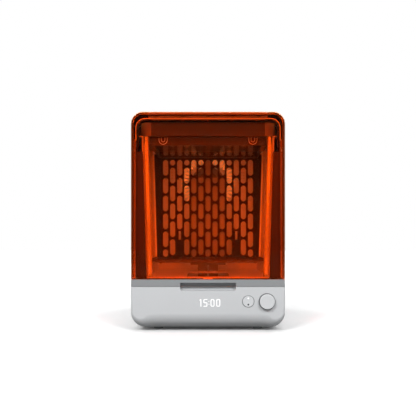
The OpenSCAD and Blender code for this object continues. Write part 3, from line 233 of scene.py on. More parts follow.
def box_shape(low, high):
    """Plain block between two corners: a cup to add, a film or a dark strip."""
    x, y, z = zip(low, high)
    verts = [(x[i], y[j], z[k]) for i in (0, 1) for j in (0, 1) for k in (0, 1)]
    return np.array(verts), [[0, 1, 3, 2], [4, 6, 7, 5], [0, 4, 5, 1],
                             [2, 3, 7, 6], [0, 2, 6, 4], [1, 5, 7, 3]]


def prism(outline, bottom, top):
    """Upright solid on an outline in plan: its points (x, y) at height bottom and again at top."""
    n = len(outline)
    verts = np.vstack([np.column_stack([outline, np.full(n, z)]) for z in (bottom, top)])
    faces = grid_faces(2, n, close_cols=True)
    return verts, faces + [list(range(n)), list(range(n, 2 * n))[::-1]]


def joined(shapes):
    """Puts several (points, faces) shapes into one list of points and one of faces."""
    verts, faces, start = [], [], 0
    for points, shape_faces in shapes:
        verts.append(points)
        faces += [[i + start for i in face] for face in shape_faces]
        start += len(points)
    return np.vstack(verts), faces


def rounded_edges(piece, width):
    """Breaks the sharp edges of a piece, those that turn by over 40 degrees, by width metres."""
    bevel = piece.modifiers.new("edges", "BEVEL")
    bevel.width = width
    bevel.segments = 3
    bevel.limit_method = "ANGLE"
    bevel.angle_limit = math.radians(40)
    even_shading(piece)


def even_shading(piece):
    """Lets each vertex take its normal from the largest faces round it: flat faces shade flat."""
    weighted = piece.modifiers.new("even", "WEIGHTED_NORMAL")
    weighted.mode = "FACE_AREA"
    weighted.weight = 100
    weighted.keep_sharp = True
    return piece


def combined(piece, others, operation="DIFFERENCE"):
    """Takes other closed meshes out of a piece, or adds them to it, for good."""
    for other in others:
        boolean = piece.modifiers.new("combined", "BOOLEAN")
        boolean.operation = operation
        boolean.solver = "EXACT"
        boolean.object = other
        graph = bpy.context.evaluated_depsgraph_get()
        mesh = bpy.data.meshes.new_from_object(piece.evaluated_get(graph))
        piece.modifiers.remove(boolean)
        piece.data = mesh
        bpy.data.objects.remove(other)
    piece.data.shade_smooth()
    piece.data.set_sharp_from_angle(angle=math.radians(SMOOTH_UP_TO))


# Helpers for materials

def linear(code):
    """sRGB hex colour as linear RGBA: s / 12.92 below 0.04045, else ((s + 0.055) / 1.055) ^ 2.4."""
    s = np.array([int(code[i:i + 2], 16) for i in (0, 2, 4)]) / 255
    value = np.where(s <= 0.04045, s / 12.92, ((s + 0.055) / 1.055) ** 2.4)
    return (*value.tolist(), 1.0)


def add(tree, kind, inputs=None, **settings):
    """Adds a node, sets its settings, and fills its inputs with values or other nodes' outputs."""
    node = tree.nodes.new(kind)
    for name, value in settings.items():
        setattr(node, name, value)
    for key, value in (inputs or {}).items():
        if isinstance(value, bpy.types.NodeSocket):
            tree.links.new(value, node.inputs[key])
        else:
            node.inputs[key].default_value = value
    return node


def new_material(name):
    """Empty node material with its output."""
    material = bpy.data.materials.new(name)
    material.use_nodes = True
    tree = material.node_tree
    tree.nodes.clear()
    return material, tree, tree.nodes.new("ShaderNodeOutputMaterial")


def noise_at(tree, size_mm, detail=3.0, stretch=(1, 1, 1)):
    """Noise on Object coordinates whose features are about size_mm across, stretched by axis."""
    place = add(tree, "ShaderNodeTexCoord")
    mapping = add(tree, "ShaderNodeMapping", {"Vector": place.outputs["Object"], "Scale": stretch})
    return add(tree, "ShaderNodeTexNoise", {
        "Vector": mapping.outputs[0], "Scale": 1 / (size_mm * MM), "Detail": detail,
        "Roughness": 0.55})


def surface(name, light, dark, roughness, spread, grain_mm, bump_mm=0.0, metallic=0.0,
            stretch=(1, 1, 1), coat=0.0, specular=0.5):
    """Opaque finish: colour drifts from dark to light in patches, roughness follows the grain.

    The patches are about 40 mm wide; the grain is grain_mm, drawn longer where stretch is small.
    """
    patch_mm, patch_share, grain_share = 40, 0.6, 0.4
    material, tree, output = new_material(name)
    patch = noise_at(tree, patch_mm, 4.0)
    grain = noise_at(tree, grain_mm, 5.0, stretch)
    share = add(tree, "ShaderNodeMath", {0: grain.outputs[0], 1: grain_share},
                operation="MULTIPLY")
    blend = add(tree, "ShaderNodeMath", {
        0: patch.outputs[0], 1: patch_share, 2: share.outputs[0]}, operation="MULTIPLY_ADD")
    colour = add(tree, "ShaderNodeMix", {0: blend.outputs[0], 6: linear(dark), 7: linear(light)},
                 data_type="RGBA")
    rough = add(tree, "ShaderNodeMapRange", {
        "Value": grain.outputs[0], "From Min": 0.3, "From Max": 0.7,
        "To Min": roughness - spread, "To Max": roughness + spread})
    shader = add(tree, "ShaderNodeBsdfPrincipled", {
        "Base Color": colour.outputs[2], "Roughness": rough.outputs[0], "Metallic": metallic,
        "Coat Weight": coat, "Specular IOR Level": specular})
    if bump_mm:
        bump = add(tree, "ShaderNodeBump", {
            "Height": grain.outputs[0], "Distance": bump_mm * MM, "Strength": 0.6})
        tree.links.new(bump.outputs[0], shader.inputs["Normal"])
    tree.links.new(shader.outputs[0], output.inputs[0])
    return material


def seen_directly(tree):
    """1 for rays from the camera, off gloss and through glass, 0 for those that light surfaces."""
    ray = add(tree, "ShaderNodeLightPath")
    seen = ray.outputs["Is Camera Ray"]
    for other in ("Is Glossy Ray", "Is Transmission Ray"):
        seen = add(tree, "ShaderNodeMath", {0: seen, 1: ray.outputs[other]},
                   operation="ADD", use_clamp=True).outputs[0]
    return seen


def glowing(name, code, strength, roughness=0.4, metallic=0.0):
    """Surface of a plain colour with a weak, slightly uneven light of its own: lit figures and
    marks, and painted glows on seal and wire.
    """
    material, tree, output = new_material(name)
    haze = noise_at(tree, 2.5)
    level = add(tree, "ShaderNodeMapRange", {
        "Value": haze.outputs[0], "To Min": strength * 0.92, "To Max": strength * 1.08})
    shader = add(tree, "ShaderNodeBsdfPrincipled", {
        "Base Color": linear(code), "Emission Color": linear(code), "Roughness": roughness,
        "Metallic": metallic, "Emission Strength": level.outputs[0]})
    tree.links.new(shader.outputs[0], output.inputs[0])
    return material


def clear_sheet(name, ior, coated, density, passed, rim=None):
    """Clear tinted sheet that bends light and takes colour with depth; lamps shine through it.

    A coat cuts its reflection to the share coated. A rim (half width, top, corner radius, depth)
    is left bare at the front: there sqrt(max(|x| - half + r, 0)^2 + max(z - top + r, 0)^2), the
    reach, is over r - depth. The rim's outermost millimetre gives off an orange light of its own,
    a painted highlight, most of it along the top.
    """
    material, tree, output = new_material(name)
    smear = noise_at(tree, 30, 4.0)
    rough = add(tree, "ShaderNodeMapRange", {
        "Value": smear.outputs[0], "To Min": 0.0, "To Max": 0.008})
    glass = add(tree, "ShaderNodeBsdfPrincipled", {
        "Base Color": linear("ffffff"), "Roughness": rough.outputs[0],
        "Transmission Weight": 1.0, "IOR": ior, "Specular Tint": (coated, coated, coated, 1)})
    if rim:
        half, top, radius, depth = rim
        place = add(tree, "ShaderNodeTexCoord")
        at = add(tree, "ShaderNodeSeparateXYZ", {0: place.outputs["Object"]})
        side = add(tree, "ShaderNodeMath", {0: at.outputs[0]}, operation="ABSOLUTE")
        past = [add(tree, "ShaderNodeMath", {0: value, 1: radius - limit}, operation="ADD")
                for value, limit in ((side.outputs[0], half), (at.outputs[2], top))]
        held = [add(tree, "ShaderNodeMath", {0: node.outputs[0], 1: 0.0}, operation="MAXIMUM")
                for node in past]
        vector = add(tree, "ShaderNodeCombineXYZ", {0: held[0].outputs[0], 1: held[1].outputs[0]})
        reach = add(tree, "ShaderNodeVectorMath", {0: vector.outputs[0]}, operation="LENGTH")
        front = add(tree, "ShaderNodeMapRange", {
            "Value": at.outputs[1], "From Min": FRONT + 1.5 * MM, "From Max": FRONT + 3 * MM,
            "To Min": 1.0, "To Max": coated})
        share = add(tree, "ShaderNodeMapRange", {
            "Value": reach.outputs["Value"], "From Min": radius - depth,
            "From Max": radius - depth * 0.6, "To Min": coated, "To Max": front.outputs[0]})
        tree.links.new(share.outputs[0], glass.inputs["Specular Tint"])
        # Painted highlight: an orange light of its own on the rim's outermost millimetre, stronger
        # towards the top
        edge = add(tree, "ShaderNodeMapRange", {
            "Value": reach.outputs["Value"], "From Min": radius - 1.8 * MM,
            "From Max": radius - 0.9 * MM})
        painted_highlight_top_gain = add(tree, "ShaderNodeMapRange", {
            "Value": at.outputs[2], "From Min": top - radius, "From Max": top - 2 * MM,
            "To Min": 0.3, "To Max": 1.3})
        lit = add(tree, "ShaderNodeMapRange", {
            "Value": front.outputs[0], "From Min": coated, "To Max": painted_highlight_top_gain.outputs[0]})
        glow = add(tree, "ShaderNodeMath", {0: edge.outputs[0], 1: lit.outputs[0]},
                   operation="MULTIPLY")
        tree.links.new(glow.outputs[0], glass.inputs["Emission Strength"])
        glass.inputs["Emission Color"].default_value = linear("ff9e58")
    ray = add(tree, "ShaderNodeLightPath")
    through = add(tree, "ShaderNodeBsdfTransparent", {"Color": (1, 1, 1, 1)})
    mixed = add(tree, "ShaderNodeMixShader", {
        0: ray.outputs["Is Shadow Ray"], 1: glass.outputs[0], 2: through.outputs[0]})
    volume = add(tree, "ShaderNodeVolumeAbsorption", {"Color": passed, "Density": density})
    tree.links.new(mixed.outputs[0], output.inputs["Surface"])
    tree.links.new(volume.outputs[0], output.inputs["Volume"])
    return material


# Materials, by what each piece is made of: light and dark colour, roughness and its spread,
# grain in millimetres, and then bump in millimetres, metallic and stretch

# Injection-moulded ABS, fine spark texture: soft even grey, broad faint highlight
shell_abs = surface("moulded_abs_light_grey", "d3d5d7", "cdcfd1", 0.48, 0.05, 0.8, 0.015)
# The same ABS from a polished tool: smoother, used on knob and button
control_abs = surface("smooth_abs_light_grey", "dadcde", "d4d6d8", 0.34, 0.04, 1.2)
# Grip band round the knob, dull mid grey: its darker tone is also painted shade for the dark ring
# round the knob
band_painted_shade = surface("grip_band_painted_shade", "77797c", "6b6d70", 0.6, 0.06, 0.8, 0.02,
                      specular=0.3)
# Powder coat on sheet steel: light or mid grey with a fine orange peel
casing_coat = surface("powder_coat_light_grey", "d4d6d8", "cccfd1", 0.42, 0.06, 1.6, 0.03)
rear_coat = surface("powder_coat_mid_grey", "a0a2a5", "95989b", 0.45, 0.06, 1.6, 0.03)
# Moulded ABS in mid grey, on the rail: as even as the shell's and a little glossier
rail_abs = surface("moulded_abs_mid_grey", "929496", "8a8c8e", 0.45, 0.05, 0.8, 0.015)
# Rubber feet: dull light grey
foot_rubber = surface("grey_rubber", "a4a6a8", "949698", 0.7, 0.08, 1.0, 0.05, specular=0.3)
# Zinc-plated steel: pale metal with a cloudy bloom
zinc_steel = surface("zinc_plated_steel", "c6c8ca", "a4a8ac", 0.34, 0.08, 2.5, metallic=1.0)
# Satin stainless strip: fine lines along the hinge
hinge_steel = surface("satin_stainless_hinge", "dcdedf", "c8cacc", 0.4, 0.08, 0.5, 0.01, 0.3,
                      (0.02, 1, 1))
# Nickel plate on the magnets: warm, near mirror
nickel = surface("nickel_plate", "cfccc4", "b5b2aa", 0.15, 0.04, 3.0, metallic=1.0)
# Turned brass, lightly tarnished: yellow with a clear highlight
brass = surface("turned_brass", "cfae5e", "a98a3c", 0.25, 0.06, 0.5, metallic=1.0)
# Matt black coat on the chamber's front frame: flat, a little rough
frame_coat = surface("matt_black_coat", "2c2d30", "1e1f22", 0.6, 0.08, 1.4, 0.02)
# Moulded black plastic: soft sheen, fine texture
black_plastic = surface("moulded_black_plastic", "2a2b2e", "1c1d1f", 0.5, 0.06, 0.9, 0.02)
# Rolled reflector sheet: bright aluminium with fine upright rolling lines
reflector = surface("rolled_reflector_aluminium", "fafaf8", "f0f0ee", 0.35, 0.08, 0.8, 0.01, 0.2,
                    (1, 1, 0.03))
# Rolled edge of the reflector sheet: polished, it mirrors the light in front
roll_steel = surface("polished_roll_aluminium", "e0e0de", "d4d4d2", 0.16, 0.04, 0.8, 0.0, 0.9,
                     (1, 1, 0.03))
# Heat-toned baffle steel: dark and satin, with upright lines
baffle_steel = surface("heat_toned_steel", "322f2d", "262322", 0.55, 0.08, 0.8, 0.01, 0.0,
                       (1, 1, 0.05), specular=0.15)
# Tray steel: dark and satin, with lines along its width
tray_steel = surface("satin_tray_steel", "3e3b39", "2f2c2b", 0.5, 0.08, 0.7, 0.01, 0.1,
                     (0.05, 1, 1), specular=0.2)
# Dark grey coats on lamp housing and lens frame, the housing's smoother and a little paler
lamp_satin = surface("satin_lamp_coat", "393634", "312e2d", 0.3, 0.05, 1.4, 0.01, coat=0.3)
lamp_coat = surface("dark_grey_lamp_coat", "302e2d", "282726", 0.3, 0.05, 1.4, 0.01, coat=0.2)
# Satin trim on the lamp housing's corners, warm mid grey: a paler copy of the housing's coat that
# paints the highlight the corners catch
trim_painted_highlight = surface("satin_grey_trim_painted_highlight", "9c958c", "8e877e", 0.3, 0.05, 1.4, 0.01)
# Solder resist on the boards: a smooth lacquer, black under the LEDs and green in the base
lamp_plate = surface("black_solder_resist", "37383a", "2b2c2e", 0.4, 0.05, 1.5)
board_green = surface("green_solder_resist", "24764e", "1a5f3d", 0.3, 0.05, 1.0)
# Mill-finish steel: plain grey sheet with upright rolling lines
bracket_steel = surface("mill_finish_steel", "8c8e90", "747678", 0.4, 0.08, 0.8, 0.01, 0.6,
                        (1, 1, 0.05))
# Coated motor can: dark grey, satin
motor_coat = surface("black_motor_coat", "55575b", "3f4145", 0.4, 0.06, 1.5, 0.02)
# Glazed steatite posts: cream, glossy
steatite = surface("glazed_steatite", "efeae0", "ddd6c8", 0.25, 0.05, 2.0)
# Plated wire of the finger guards: pale, bright metal
wire_steel = surface("plated_guard_wire", "b9bbbe", "96999c", 0.28, 0.06, 0.6, metallic=1.0)
# Filter mat of glass fibre: pale and fluffy
filter_mat = surface("glass_fibre_mat", "eeece6", "dcdad4", 0.9, 0.05, 0.6, 0.1)
# Printed mark on the button: dark, dull ink
mark_grey = surface("printed_mark_grey", "1e1f20", "161718", 0.6, 0.05, 0.6, specular=0.2)
# Matt black film on the window's flanges and behind the pane's lower edge: painted shade, dark
# sheets where the edges look dark; it also keeps the chamber's light off hinge and frame
painted_shade_film = surface("matt_black_film_painted_shade", "141415", "0d0d0e", 0.8, 0.05, 1.2, 0.01, specular=0.2)

# Lit timer figures and the button's lit mark: white diffusers with a light behind them
figure_white = glowing("lit_figure_white", "ffffff", 0.3)
mark_white = glowing("lit_mark_white", "ffffff", 0.2)
# Silicone edge seal in pale orange with a light of its own: a painted highlight along the window's
# inner edge
seal_painted_glow = glowing("orange_silicone_painted_glow", "f0c888", 0.3)
# Nickel-chrome resistance wire: bright drawn metal with a white light of its own, painted glints
wire_painted_glints = glowing("resistance_wire_painted_glints", "ffe2f0", 1.3, 0.25, 0.7)

# Cast acrylic, orange: a 3.5 mm pane passes 90 % of red, 27 % of green and 9 % of blue; its rim has
# a painted highlight
amber = clear_sheet("orange_acrylic", 1.49, 0.08, 900.0, (0.9665, 0.584, 0.0, 1),
                    (HALF_W, BODY_H, CORNER, 1.6 * MM))
# Borosilicate cover glass, coated against reflection: hardly seen, a little green at its edges.
# Its low IOR stands for the coat, which takes nearly all of the reflection away.
clear_glass = clear_sheet("coated_borosilicate", 1.03, 0.1, 8.0, (0.6, 0.9, 0.85, 1))

FINISHES = {
    shell_abs: ["base_shell"],
    control_abs: ["knob", "mode_button"],
    casing_coat: ["casing"],
    rail_abs: ["door_rail"],
    amber: ["door_window"],
    seal_painted_glow: ["door_seal"],
    foot_rubber: ["foot_front_left", "foot_front_right", "foot_rear_left", "foot_rear_right"],
    zinc_steel: ["foot_screws", "chassis_screws", "door_screws", "knob_shaft", "deck"],
    hinge_steel: ["hinge_leaf_door", "hinge_leaf_casing", "hinge_pin"],
    nickel: ["rail_magnets", "base_magnets"],
    frame_coat: ["front_frame", "lamp_brackets"],
    rear_coat: ["rear_panel"],
    brass: ["encoder_rotor", "inlet_pins"],
    black_plastic: ["encoder", "mode_switch", "display_module", "mains_inlet", "power_rocker",
                    "exhaust_frames", "exhaust_rotor_left", "exhaust_rotor_right"],
    figure_white: ["display_figures"],
    mark_white: ["mode_marks"],
    board_green: ["control_board"],
    reflector: ["side_reflector_left", "side_reflector_right", "floor_pan", "ceiling_panel",
                "rear_reflector", "tray_ledges", "baffle_angles", "power_supply"],
    baffle_steel: ["slotted_baffle"],
    tray_steel: ["tray"],
    lamp_satin: ["lamp_housing"],
    lamp_coat: ["lens_frame", "lens_clips"],
    lamp_plate: ["upper_lamp", "floor_lamp"],
    clear_glass: ["lens_glass", "floor_glass"],
    bracket_steel: ["fan_bracket", "circulation_fan"],
    wire_steel: ["finger_guards"],
    motor_coat: ["fan_motor"],
    wire_painted_glints: ["heater_coil"],
    steatite: ["heater_posts"],
}
for material, names in FINISHES.items():
    for name in names:
        slots = nodes[name].data.materials
        slots.clear()
        slots.append(material)


def stands_for(piece, body, slot, *names):
    """Lets a piece ride on a body and replace CAD nodes; slot is not used."""
    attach(piece, body)
    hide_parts(*names)


# Pieces

def base_housing():
    """Lower shell: a U whose front fillet is 26 mm at the bottom and falls to 2.5 mm at the sides.

    The fillet r(u) falls with the path's length from the middle, from 90 mm on over 68 mm, and
    its quarter circle is inset = r (1 - sin b), depth = r (1 - cos b). The inside repeats it one
    wall further in. A cup is added behind the finger scoop before scoop and holes are cut.
    """
    wall, bottom_r, side_r, bevel = 3 * MM, 26 * MM, 2.5 * MM, 0.7 * MM
    fall_start, fall_length = 90 * MM, 68 * MM
    depth = base_high.y - FRONT
    points, normals = u_outline(HALF_W, BASE_TOP, base_low.z, bottom_r, 30, 24)
    steps = np.linalg.norm(np.diff(points, axis=0), axis=1)
    walked = np.concatenate([[0], np.cumsum(steps)])
    away = np.abs(walked - walked[-1] / 2)[:, None]
    t = np.clip((away - fall_start) / fall_length, 0, 1)
    r = bottom_r + (side_r - bottom_r) * t ** 2 * (3 - 2 * t)
    b = np.linspace(0, np.pi / 2, 24)
    inner_r = np.maximum(r - wall, 0.5 * MM)
    end = np.full_like(r, depth)
    inset = np.hstack([r * (1 - np.sin(b)), 0 * r, wall + 0 * r,
                       wall + inner_r * (1 - np.sin(b[::-1]))])
    run = np.hstack([r * (1 - np.cos(b)), end, end, wall + inner_r * (1 - np.cos(b[::-1]))])
    piece = shell_piece("base_housing", (points, normals), inset, run, shell_abs)

    cup_half, cup_depth, cup_height = 50.5 * MM, 18.9 * MM, 10 * MM
    cup = box_shape((-cup_half, FRONT + 1 * MM, BASE_TOP - cup_height),
                    (cup_half, FRONT + cup_depth, BASE_TOP - 0.1 * MM))
    combined(piece, [outward(mesh_piece("cup", *cup, shell_abs))], "UNION")

    # Holes a little wider than knob and button, from 5 mm before the front to 8 mm behind it
    knob_x, _, control_z = places(*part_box("knob"))
    button_x = places(*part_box("mode_button"))[0]
    knob_hole_r, button_hole_r = 13.95 * MM, 10.3 * MM
    holes = [revolved(name, x, control_z, [(r, -5 * MM), (r, 8 * MM)], shell_abs)
             for name, x, r in (("knob_hole", knob_x, knob_hole_r),
                                ("button_hole", button_x, button_hole_r))]
    combined(piece, holes + [scoop_cutter()])
    rounded_edges(piece, bevel)
    stands_for(piece, "root", "shell_grey", "base_shell")


def scoop_cutter():
    """Bar along X that cuts the finger scoop, an ellipse of 14 mm height and 20 mm depth.

    At the ends its height falls by c (1 - sqrt(1 - e^2)), and the depth with it.
    """
    half, high, deep, corner = 47.3 * MM, 14 * MM, 20 * MM, 4 * MM
    middle_z = BASE_TOP + 7.1 * MM
    around = 41
    x = half - corner * (1 - np.sin(np.linspace(np.pi / 2, 0, 9)))
    x = np.concatenate([-x, [0.0], x[::-1]])
    e = np.clip((np.abs(x) - half + corner) / corner, 0, 1)
    r = (high - corner * (1 - np.sqrt(1 - e ** 2)))[:, None]
    a = np.radians(np.linspace(0, -180, around))
    grid = np.stack([np.broadcast_to(x[:, None], (len(x), around)),
                     FRONT + r * np.cos(a) * deep / high, middle_z + r * np.sin(a)], -1)
    last = (len(x) - 1) * around
    faces = grid_faces(len(x), around, close_cols=True)
    faces += [list(range(around)), list(range(last, last + around))[::-1]]
    return outward(mesh_piece("scoop", grid, faces, shell_abs))


def timer_figures():
    """Lit time 15:00 in round-ended strokes: tubes of 0.78 mm radius, pressed to a fifth."""
    low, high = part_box("display_figures")
    stroke, flatness = 0.78 * MM, 0.2
    h, w = high.z - low.z - 2 * stroke, 5.2 * MM
    start, base = low.x + stroke, low.z + stroke
    zero = bent([(0, 0), (w, 0), (w, h), (0, h)], 2.2 * MM, closed=True)
    five = bent([(w, h), (0, h), (0, h * 0.52), (w, h * 0.52), (w, 0), (0, 0)], 1.5 * MM)
    one = bent([(-1.6 * MM, h - 1.3 * MM), (0, h), (0, 0)], 0.5 * MM)
    one_x, five_x, colon_x, zero_x = (start + away * MM for away in (1.4, 6.4, 15.0, 18.4))
    strokes = []
    for path, x, closed in ((one, one_x, False), (five, five_x, False), (zero, zero_x, True),
                            (zero, high.x - stroke - w, True)):
        line = np.column_stack([x + path[:, 0], np.full(len(path), FRONT), base + path[:, 1]])
        strokes.append(tube(line, stroke, 12, closed, dome=not closed))
    for share in (0.3, 0.72):
        dot = [(colon_x + shift * MM, FRONT, base + share * h) for shift in (-0.05, 0.05)]
        strokes.append(tube(dot, stroke, 12, dome=True))
    verts, faces = joined(strokes)
    verts[:, 1] = FRONT + (verts[:, 1] - FRONT) * flatness
    piece = outward(mesh_piece("timer_figures", verts, faces, figure_white, 60))
    stands_for(piece, "root", "mark_white", "display_figures")


def turned_front(r, front, dish, pitch, share, edge_r, steps):
    """Profile of a dished front with a round edge, as (radius, depth) pairs.

    The dish has depth front + dish (1 - (k / share)^2) at ring k, every pitch, and the edge is
    radius r - e (1 - sin b), depth front + e (1 - cos b).
    """
    face = [(k * pitch + pitch / 10, front + dish * (1 - (k / share) ** 2)) for k in range(6)]
    return face + [(r - edge_r * (1 - math.sin(b)), front + edge_r * (1 - math.cos(b)))
                   for b in np.linspace(0, np.pi / 2, steps)]


def knob():
    """Turned knob: a lightly dished face, a 1.2 mm round edge and a narrow grip band behind it.

    The band's edges are broken by 0.25 mm, and it stands 0.7 mm proud of the cap. Its darker
    grey paints the shade of the gap round the knob.
    """
    low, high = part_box("knob")
    x, _, z = places(low, high)
    r, front, rear = (high.x - low.x) / 2, low.y - FRONT, high.y - FRONT
    cap_r, root_r, broken = r - 0.7 * MM, r - 1.1 * MM, 0.25 * MM
    profile = turned_front(cap_r, front, 0.25 * MM, 2 * MM, 5, 1.2 * MM, 9)
    cap = revolved("knob_cap", x, z, profile + [(cap_r, rear)], control_abs, 128)
    stands_for(cap, "knob", "control_grey", "knob")
    start = front + 1.9 * MM
    profile = [(root_r, start), (r - broken, start), (r, start + broken),
               (r, rear - broken), (r - broken, rear), (root_r, rear)]
    band = revolved("knob_band", x, z, profile, band_painted_shade, 128)
    stands_for(band, "knob", "control_grey", "knob")


def mode_button():
    """Round button with a dished face and a 0.5 mm edge, a lit pip above and a printed one below.

    A pip is a cap of radius m sin b that stands 0.18 mm cos b out of a ring 0.2 mm deep.
    """
    low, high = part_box("mode_button")
    x, _, z = places(low, high)
    r, front, rear = 9.5 * MM, low.y - FRONT, high.y - FRONT
    disc_rear, stem_r = 5 * MM, 3 * MM
    profile = turned_front(r, front, 0.35 * MM, 1.5 * MM, 6, 0.5 * MM, 7)
    profile += [(r, disc_rear), (stem_r, disc_rear), (stem_r, rear), (0.5 * MM, rear)]
    cap = revolved("mode_button_cap", x, z, profile, control_abs)
    stands_for(cap, "mode_button", "control_grey", "mode_button")
    mark_low, mark_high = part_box("mode_marks")
    mark_r = (mark_high.x - mark_low.x) / 2 + 0.25 * MM
    lens = [(mark_r * math.sin(b), front + 0.2 * MM - 0.18 * MM * math.cos(b))
            for b in np.linspace(0.1, np.pi / 2, 6)]
    for name, centre, material in (("upper_pip", mark_high.z - mark_r, mark_white),
                                   ("lower_pip", mark_low.z + mark_r, mark_grey)):
        pip = revolved(name, x, centre, lens + [(mark_r, front + 0.8 * MM)], material, 32)
        stands_for(pip, "mode_button", "mark_white", "mode_marks")


def edge_seal():
    """Silicone bead inside the window's flange: a 1.2 mm circle carried along the U."""
    low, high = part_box("door_seal")
    r, inner = 0.6 * MM, FLANGE + 0.1 * MM
    depth = (low.y + high.y) / 2 - FRONT
    a = np.linspace(0, 2 * np.pi, 16, endpoint=False)
    outline = u_outline(HALF_W - inner, low.z, BODY_H - inner, CORNER - FLANGE, 28)
    piece = shell_piece("edge_seal", outline, (r - r * np.cos(a))[None],
                        (depth + r * np.sin(a))[None], seal_painted_glow, closed_front=False)
    stands_for(piece, "door", "edge_silicone", "door_seal")


def window_films():
    """Black films 0.3 mm thick: a U inside the flanges, an L in each upper corner, a U on their
    rear edge and a strip before the hinge leaf. They are painted shade: dark sheets that darken
    the window's edges and the band along its top.
    """
    thick, inner = 0.3 * MM, FLANGE + 0.05 * MM
    corner_steps, corner_low = 24, 330 * MM
    bottom = window_low.z + 6 * MM
    on_flange = np.array([[0, 0, thick, thick]])
    on_edge = np.array([[0.2, 0.2, 2.8, 2.8]]) * MM
    inside = (HALF_W - inner, bottom, BODY_H - inner, CORNER - inner, corner_steps)
    points, normals = u_outline(inside[0], corner_low, *inside[2:])
    count = corner_steps + 2
    left = (np.vstack([points[:count], [[-HINGE_HALF, points[count - 1, 1]]]]),
            np.vstack([normals[:count], [[0, 1]]]))
    right = [(part * [-1, 1])[::-1] for part in left]
    # Name, outline, insets, and the depths in millimetres where the film starts and ends
    for name, outline, across, near, far in (
            ("painted_shade_strip", u_outline(*inside), on_flange, 4.8, 17.6),
            ("corner_film_left", left, on_flange, 17.6, 41.4),
            ("corner_film_right", right, on_flange, 17.6, 41.4),
            ("edge_film", u_outline(HALF_W, bottom, BODY_H, CORNER, 28), on_edge, 45.02, 45.2)):
        run = np.array([[near, far, far, near]]) * MM
        piece = shell_piece(name, outline, across, run, painted_shade_film, closed_front=False)
        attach(piece, "door")
    leaf = box_shape((-HINGE_HALF, FRONT + 17.65 * MM, BODY_H - 3.9 * MM),
                     (HINGE_HALF, FRONT + 17.85 * MM, BODY_H - 0.4 * MM))
    piece = outward(mesh_piece("leaf_film", *leaf, painted_shade_film))
    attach(piece, "door")


def pane_shade_strip():
    """Dark strip behind the pane's lower edge, painted shade along that line, in two lengths with a
    16 mm gap between them.
    """
    bottom, top = window_low.z + 3.6 * MM, window_low.z + 5.2 * MM
    near, far = FRONT + 3.6 * MM, FRONT + 5.0 * MM
    gap, reach = 8 * MM, 127 * MM
    shapes = [box_shape((x, near, bottom), (x + reach - gap, far, top)) for x in (-reach, gap)]
    piece = outward(mesh_piece("pane_shade_strip", *joined(shapes), painted_shade_film))
    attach(piece, "door")


def reflector_rolls():
    """Rolled front edges of the side reflectors, half an ellipse 11 by 7 mm on each edge.

    Point a is 5.5 mm (1 - cos a) from the edge towards the middle and 3.5 mm sin a in depth,
    in 0.8 mm sheet; each roll runs straight between the ends of its reflector's front edge.
    """
    wide, deep, thick, shy = 5.5 * MM, 3.5 * MM, 0.8 * MM, 1 * MM
    a = np.radians(np.linspace(-200, -4, 32))
    inward = np.concatenate([wide * (1 - np.cos(a)), wide - (wide - thick) * np.cos(a[::-1])])
    depth = np.concatenate([deep * np.sin(a), (deep - thick) * np.sin(a[::-1])])
    shapes = []
    for side, name in ((-1, "side_reflector_left"), (1, "side_reflector_right")):
        mesh = nodes[name].data
        points = np.empty(len(mesh.vertices) * 3)
        mesh.vertices.foreach_get("co", points)
        points = points.reshape(-1, 3)
        front_y = points[:, 1].min()
        front = points[points[:, 1] < front_y + 0.5 * MM]
        rows = []
        for z, end in ((front[:, 2].min(), shy), (front[:, 2].max(), -shy)):
            row = front[np.abs(front[:, 2] - z) < 1 * MM]
            edge = np.abs(row[:, 0]).min() - 0.05 * MM
            rows.append(np.column_stack([side * (edge - inward), front_y + deep + 0.3 * MM + depth,
                                         np.full_like(depth, z + end)]))
        cols = len(depth)
        faces = grid_faces(2, cols, close_cols=True)
        faces += [list(range(cols)), list(range(cols, 2 * cols))[::-1]]
        shapes.append((np.vstack(rows), faces))
    piece = outward(mesh_piece("reflector_rolls", *joined(shapes), roll_steel))
    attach(piece, "root")


def lamp_cover():
    """Lamp housing: a block whose front corners are rounded by 20 mm in plan, with 1.2 mm edges.

    Each rounded corner carries a thin trim, an arc of 84 degrees that stands 0.3 mm proud,
    whose paler grey paints the highlight on the corner.
    """
    low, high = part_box("lamp_housing")
    corner, front, rear = 20 * MM, low.y + 0.02 * MM, high.y - 0.5 * MM
    left, right = low.x + corner, high.x - corner
    plan = np.vstack([[low.x, rear], arc(left, front + corner, corner, 180, 270, 20)[0],
                      arc(right, front + corner, corner, 270, 360, 20)[0], [high.x, rear]])
    verts, faces = prism(plan, low.z + 0.02 * MM, high.z)
    piece = outward(mesh_piece("lamp_cover", verts, faces, lamp_satin))
    rounded_edges(piece, 1.2 * MM)
    stands_for(piece, "root", "lamp_paint", "lamp_housing")

    proud, inside, turn = corner + 0.3 * MM, corner - 0.4 * MM, 84
    shapes = []
    for side, centre in ((-1, left), (1, right)):
        outer, inner = (arc(centre, front + corner, r, 270, 270 + side * turn, 20)[0]
                        for r in (proud, inside))
        shapes.append(prism(np.vstack([outer, inner[::-1]]), low.z + 0.6 * MM, high.z - 0.8 * MM))
    trim = outward(mesh_piece("lamp_end_trims", *joined(shapes), trim_painted_highlight))
    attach(trim, "root")


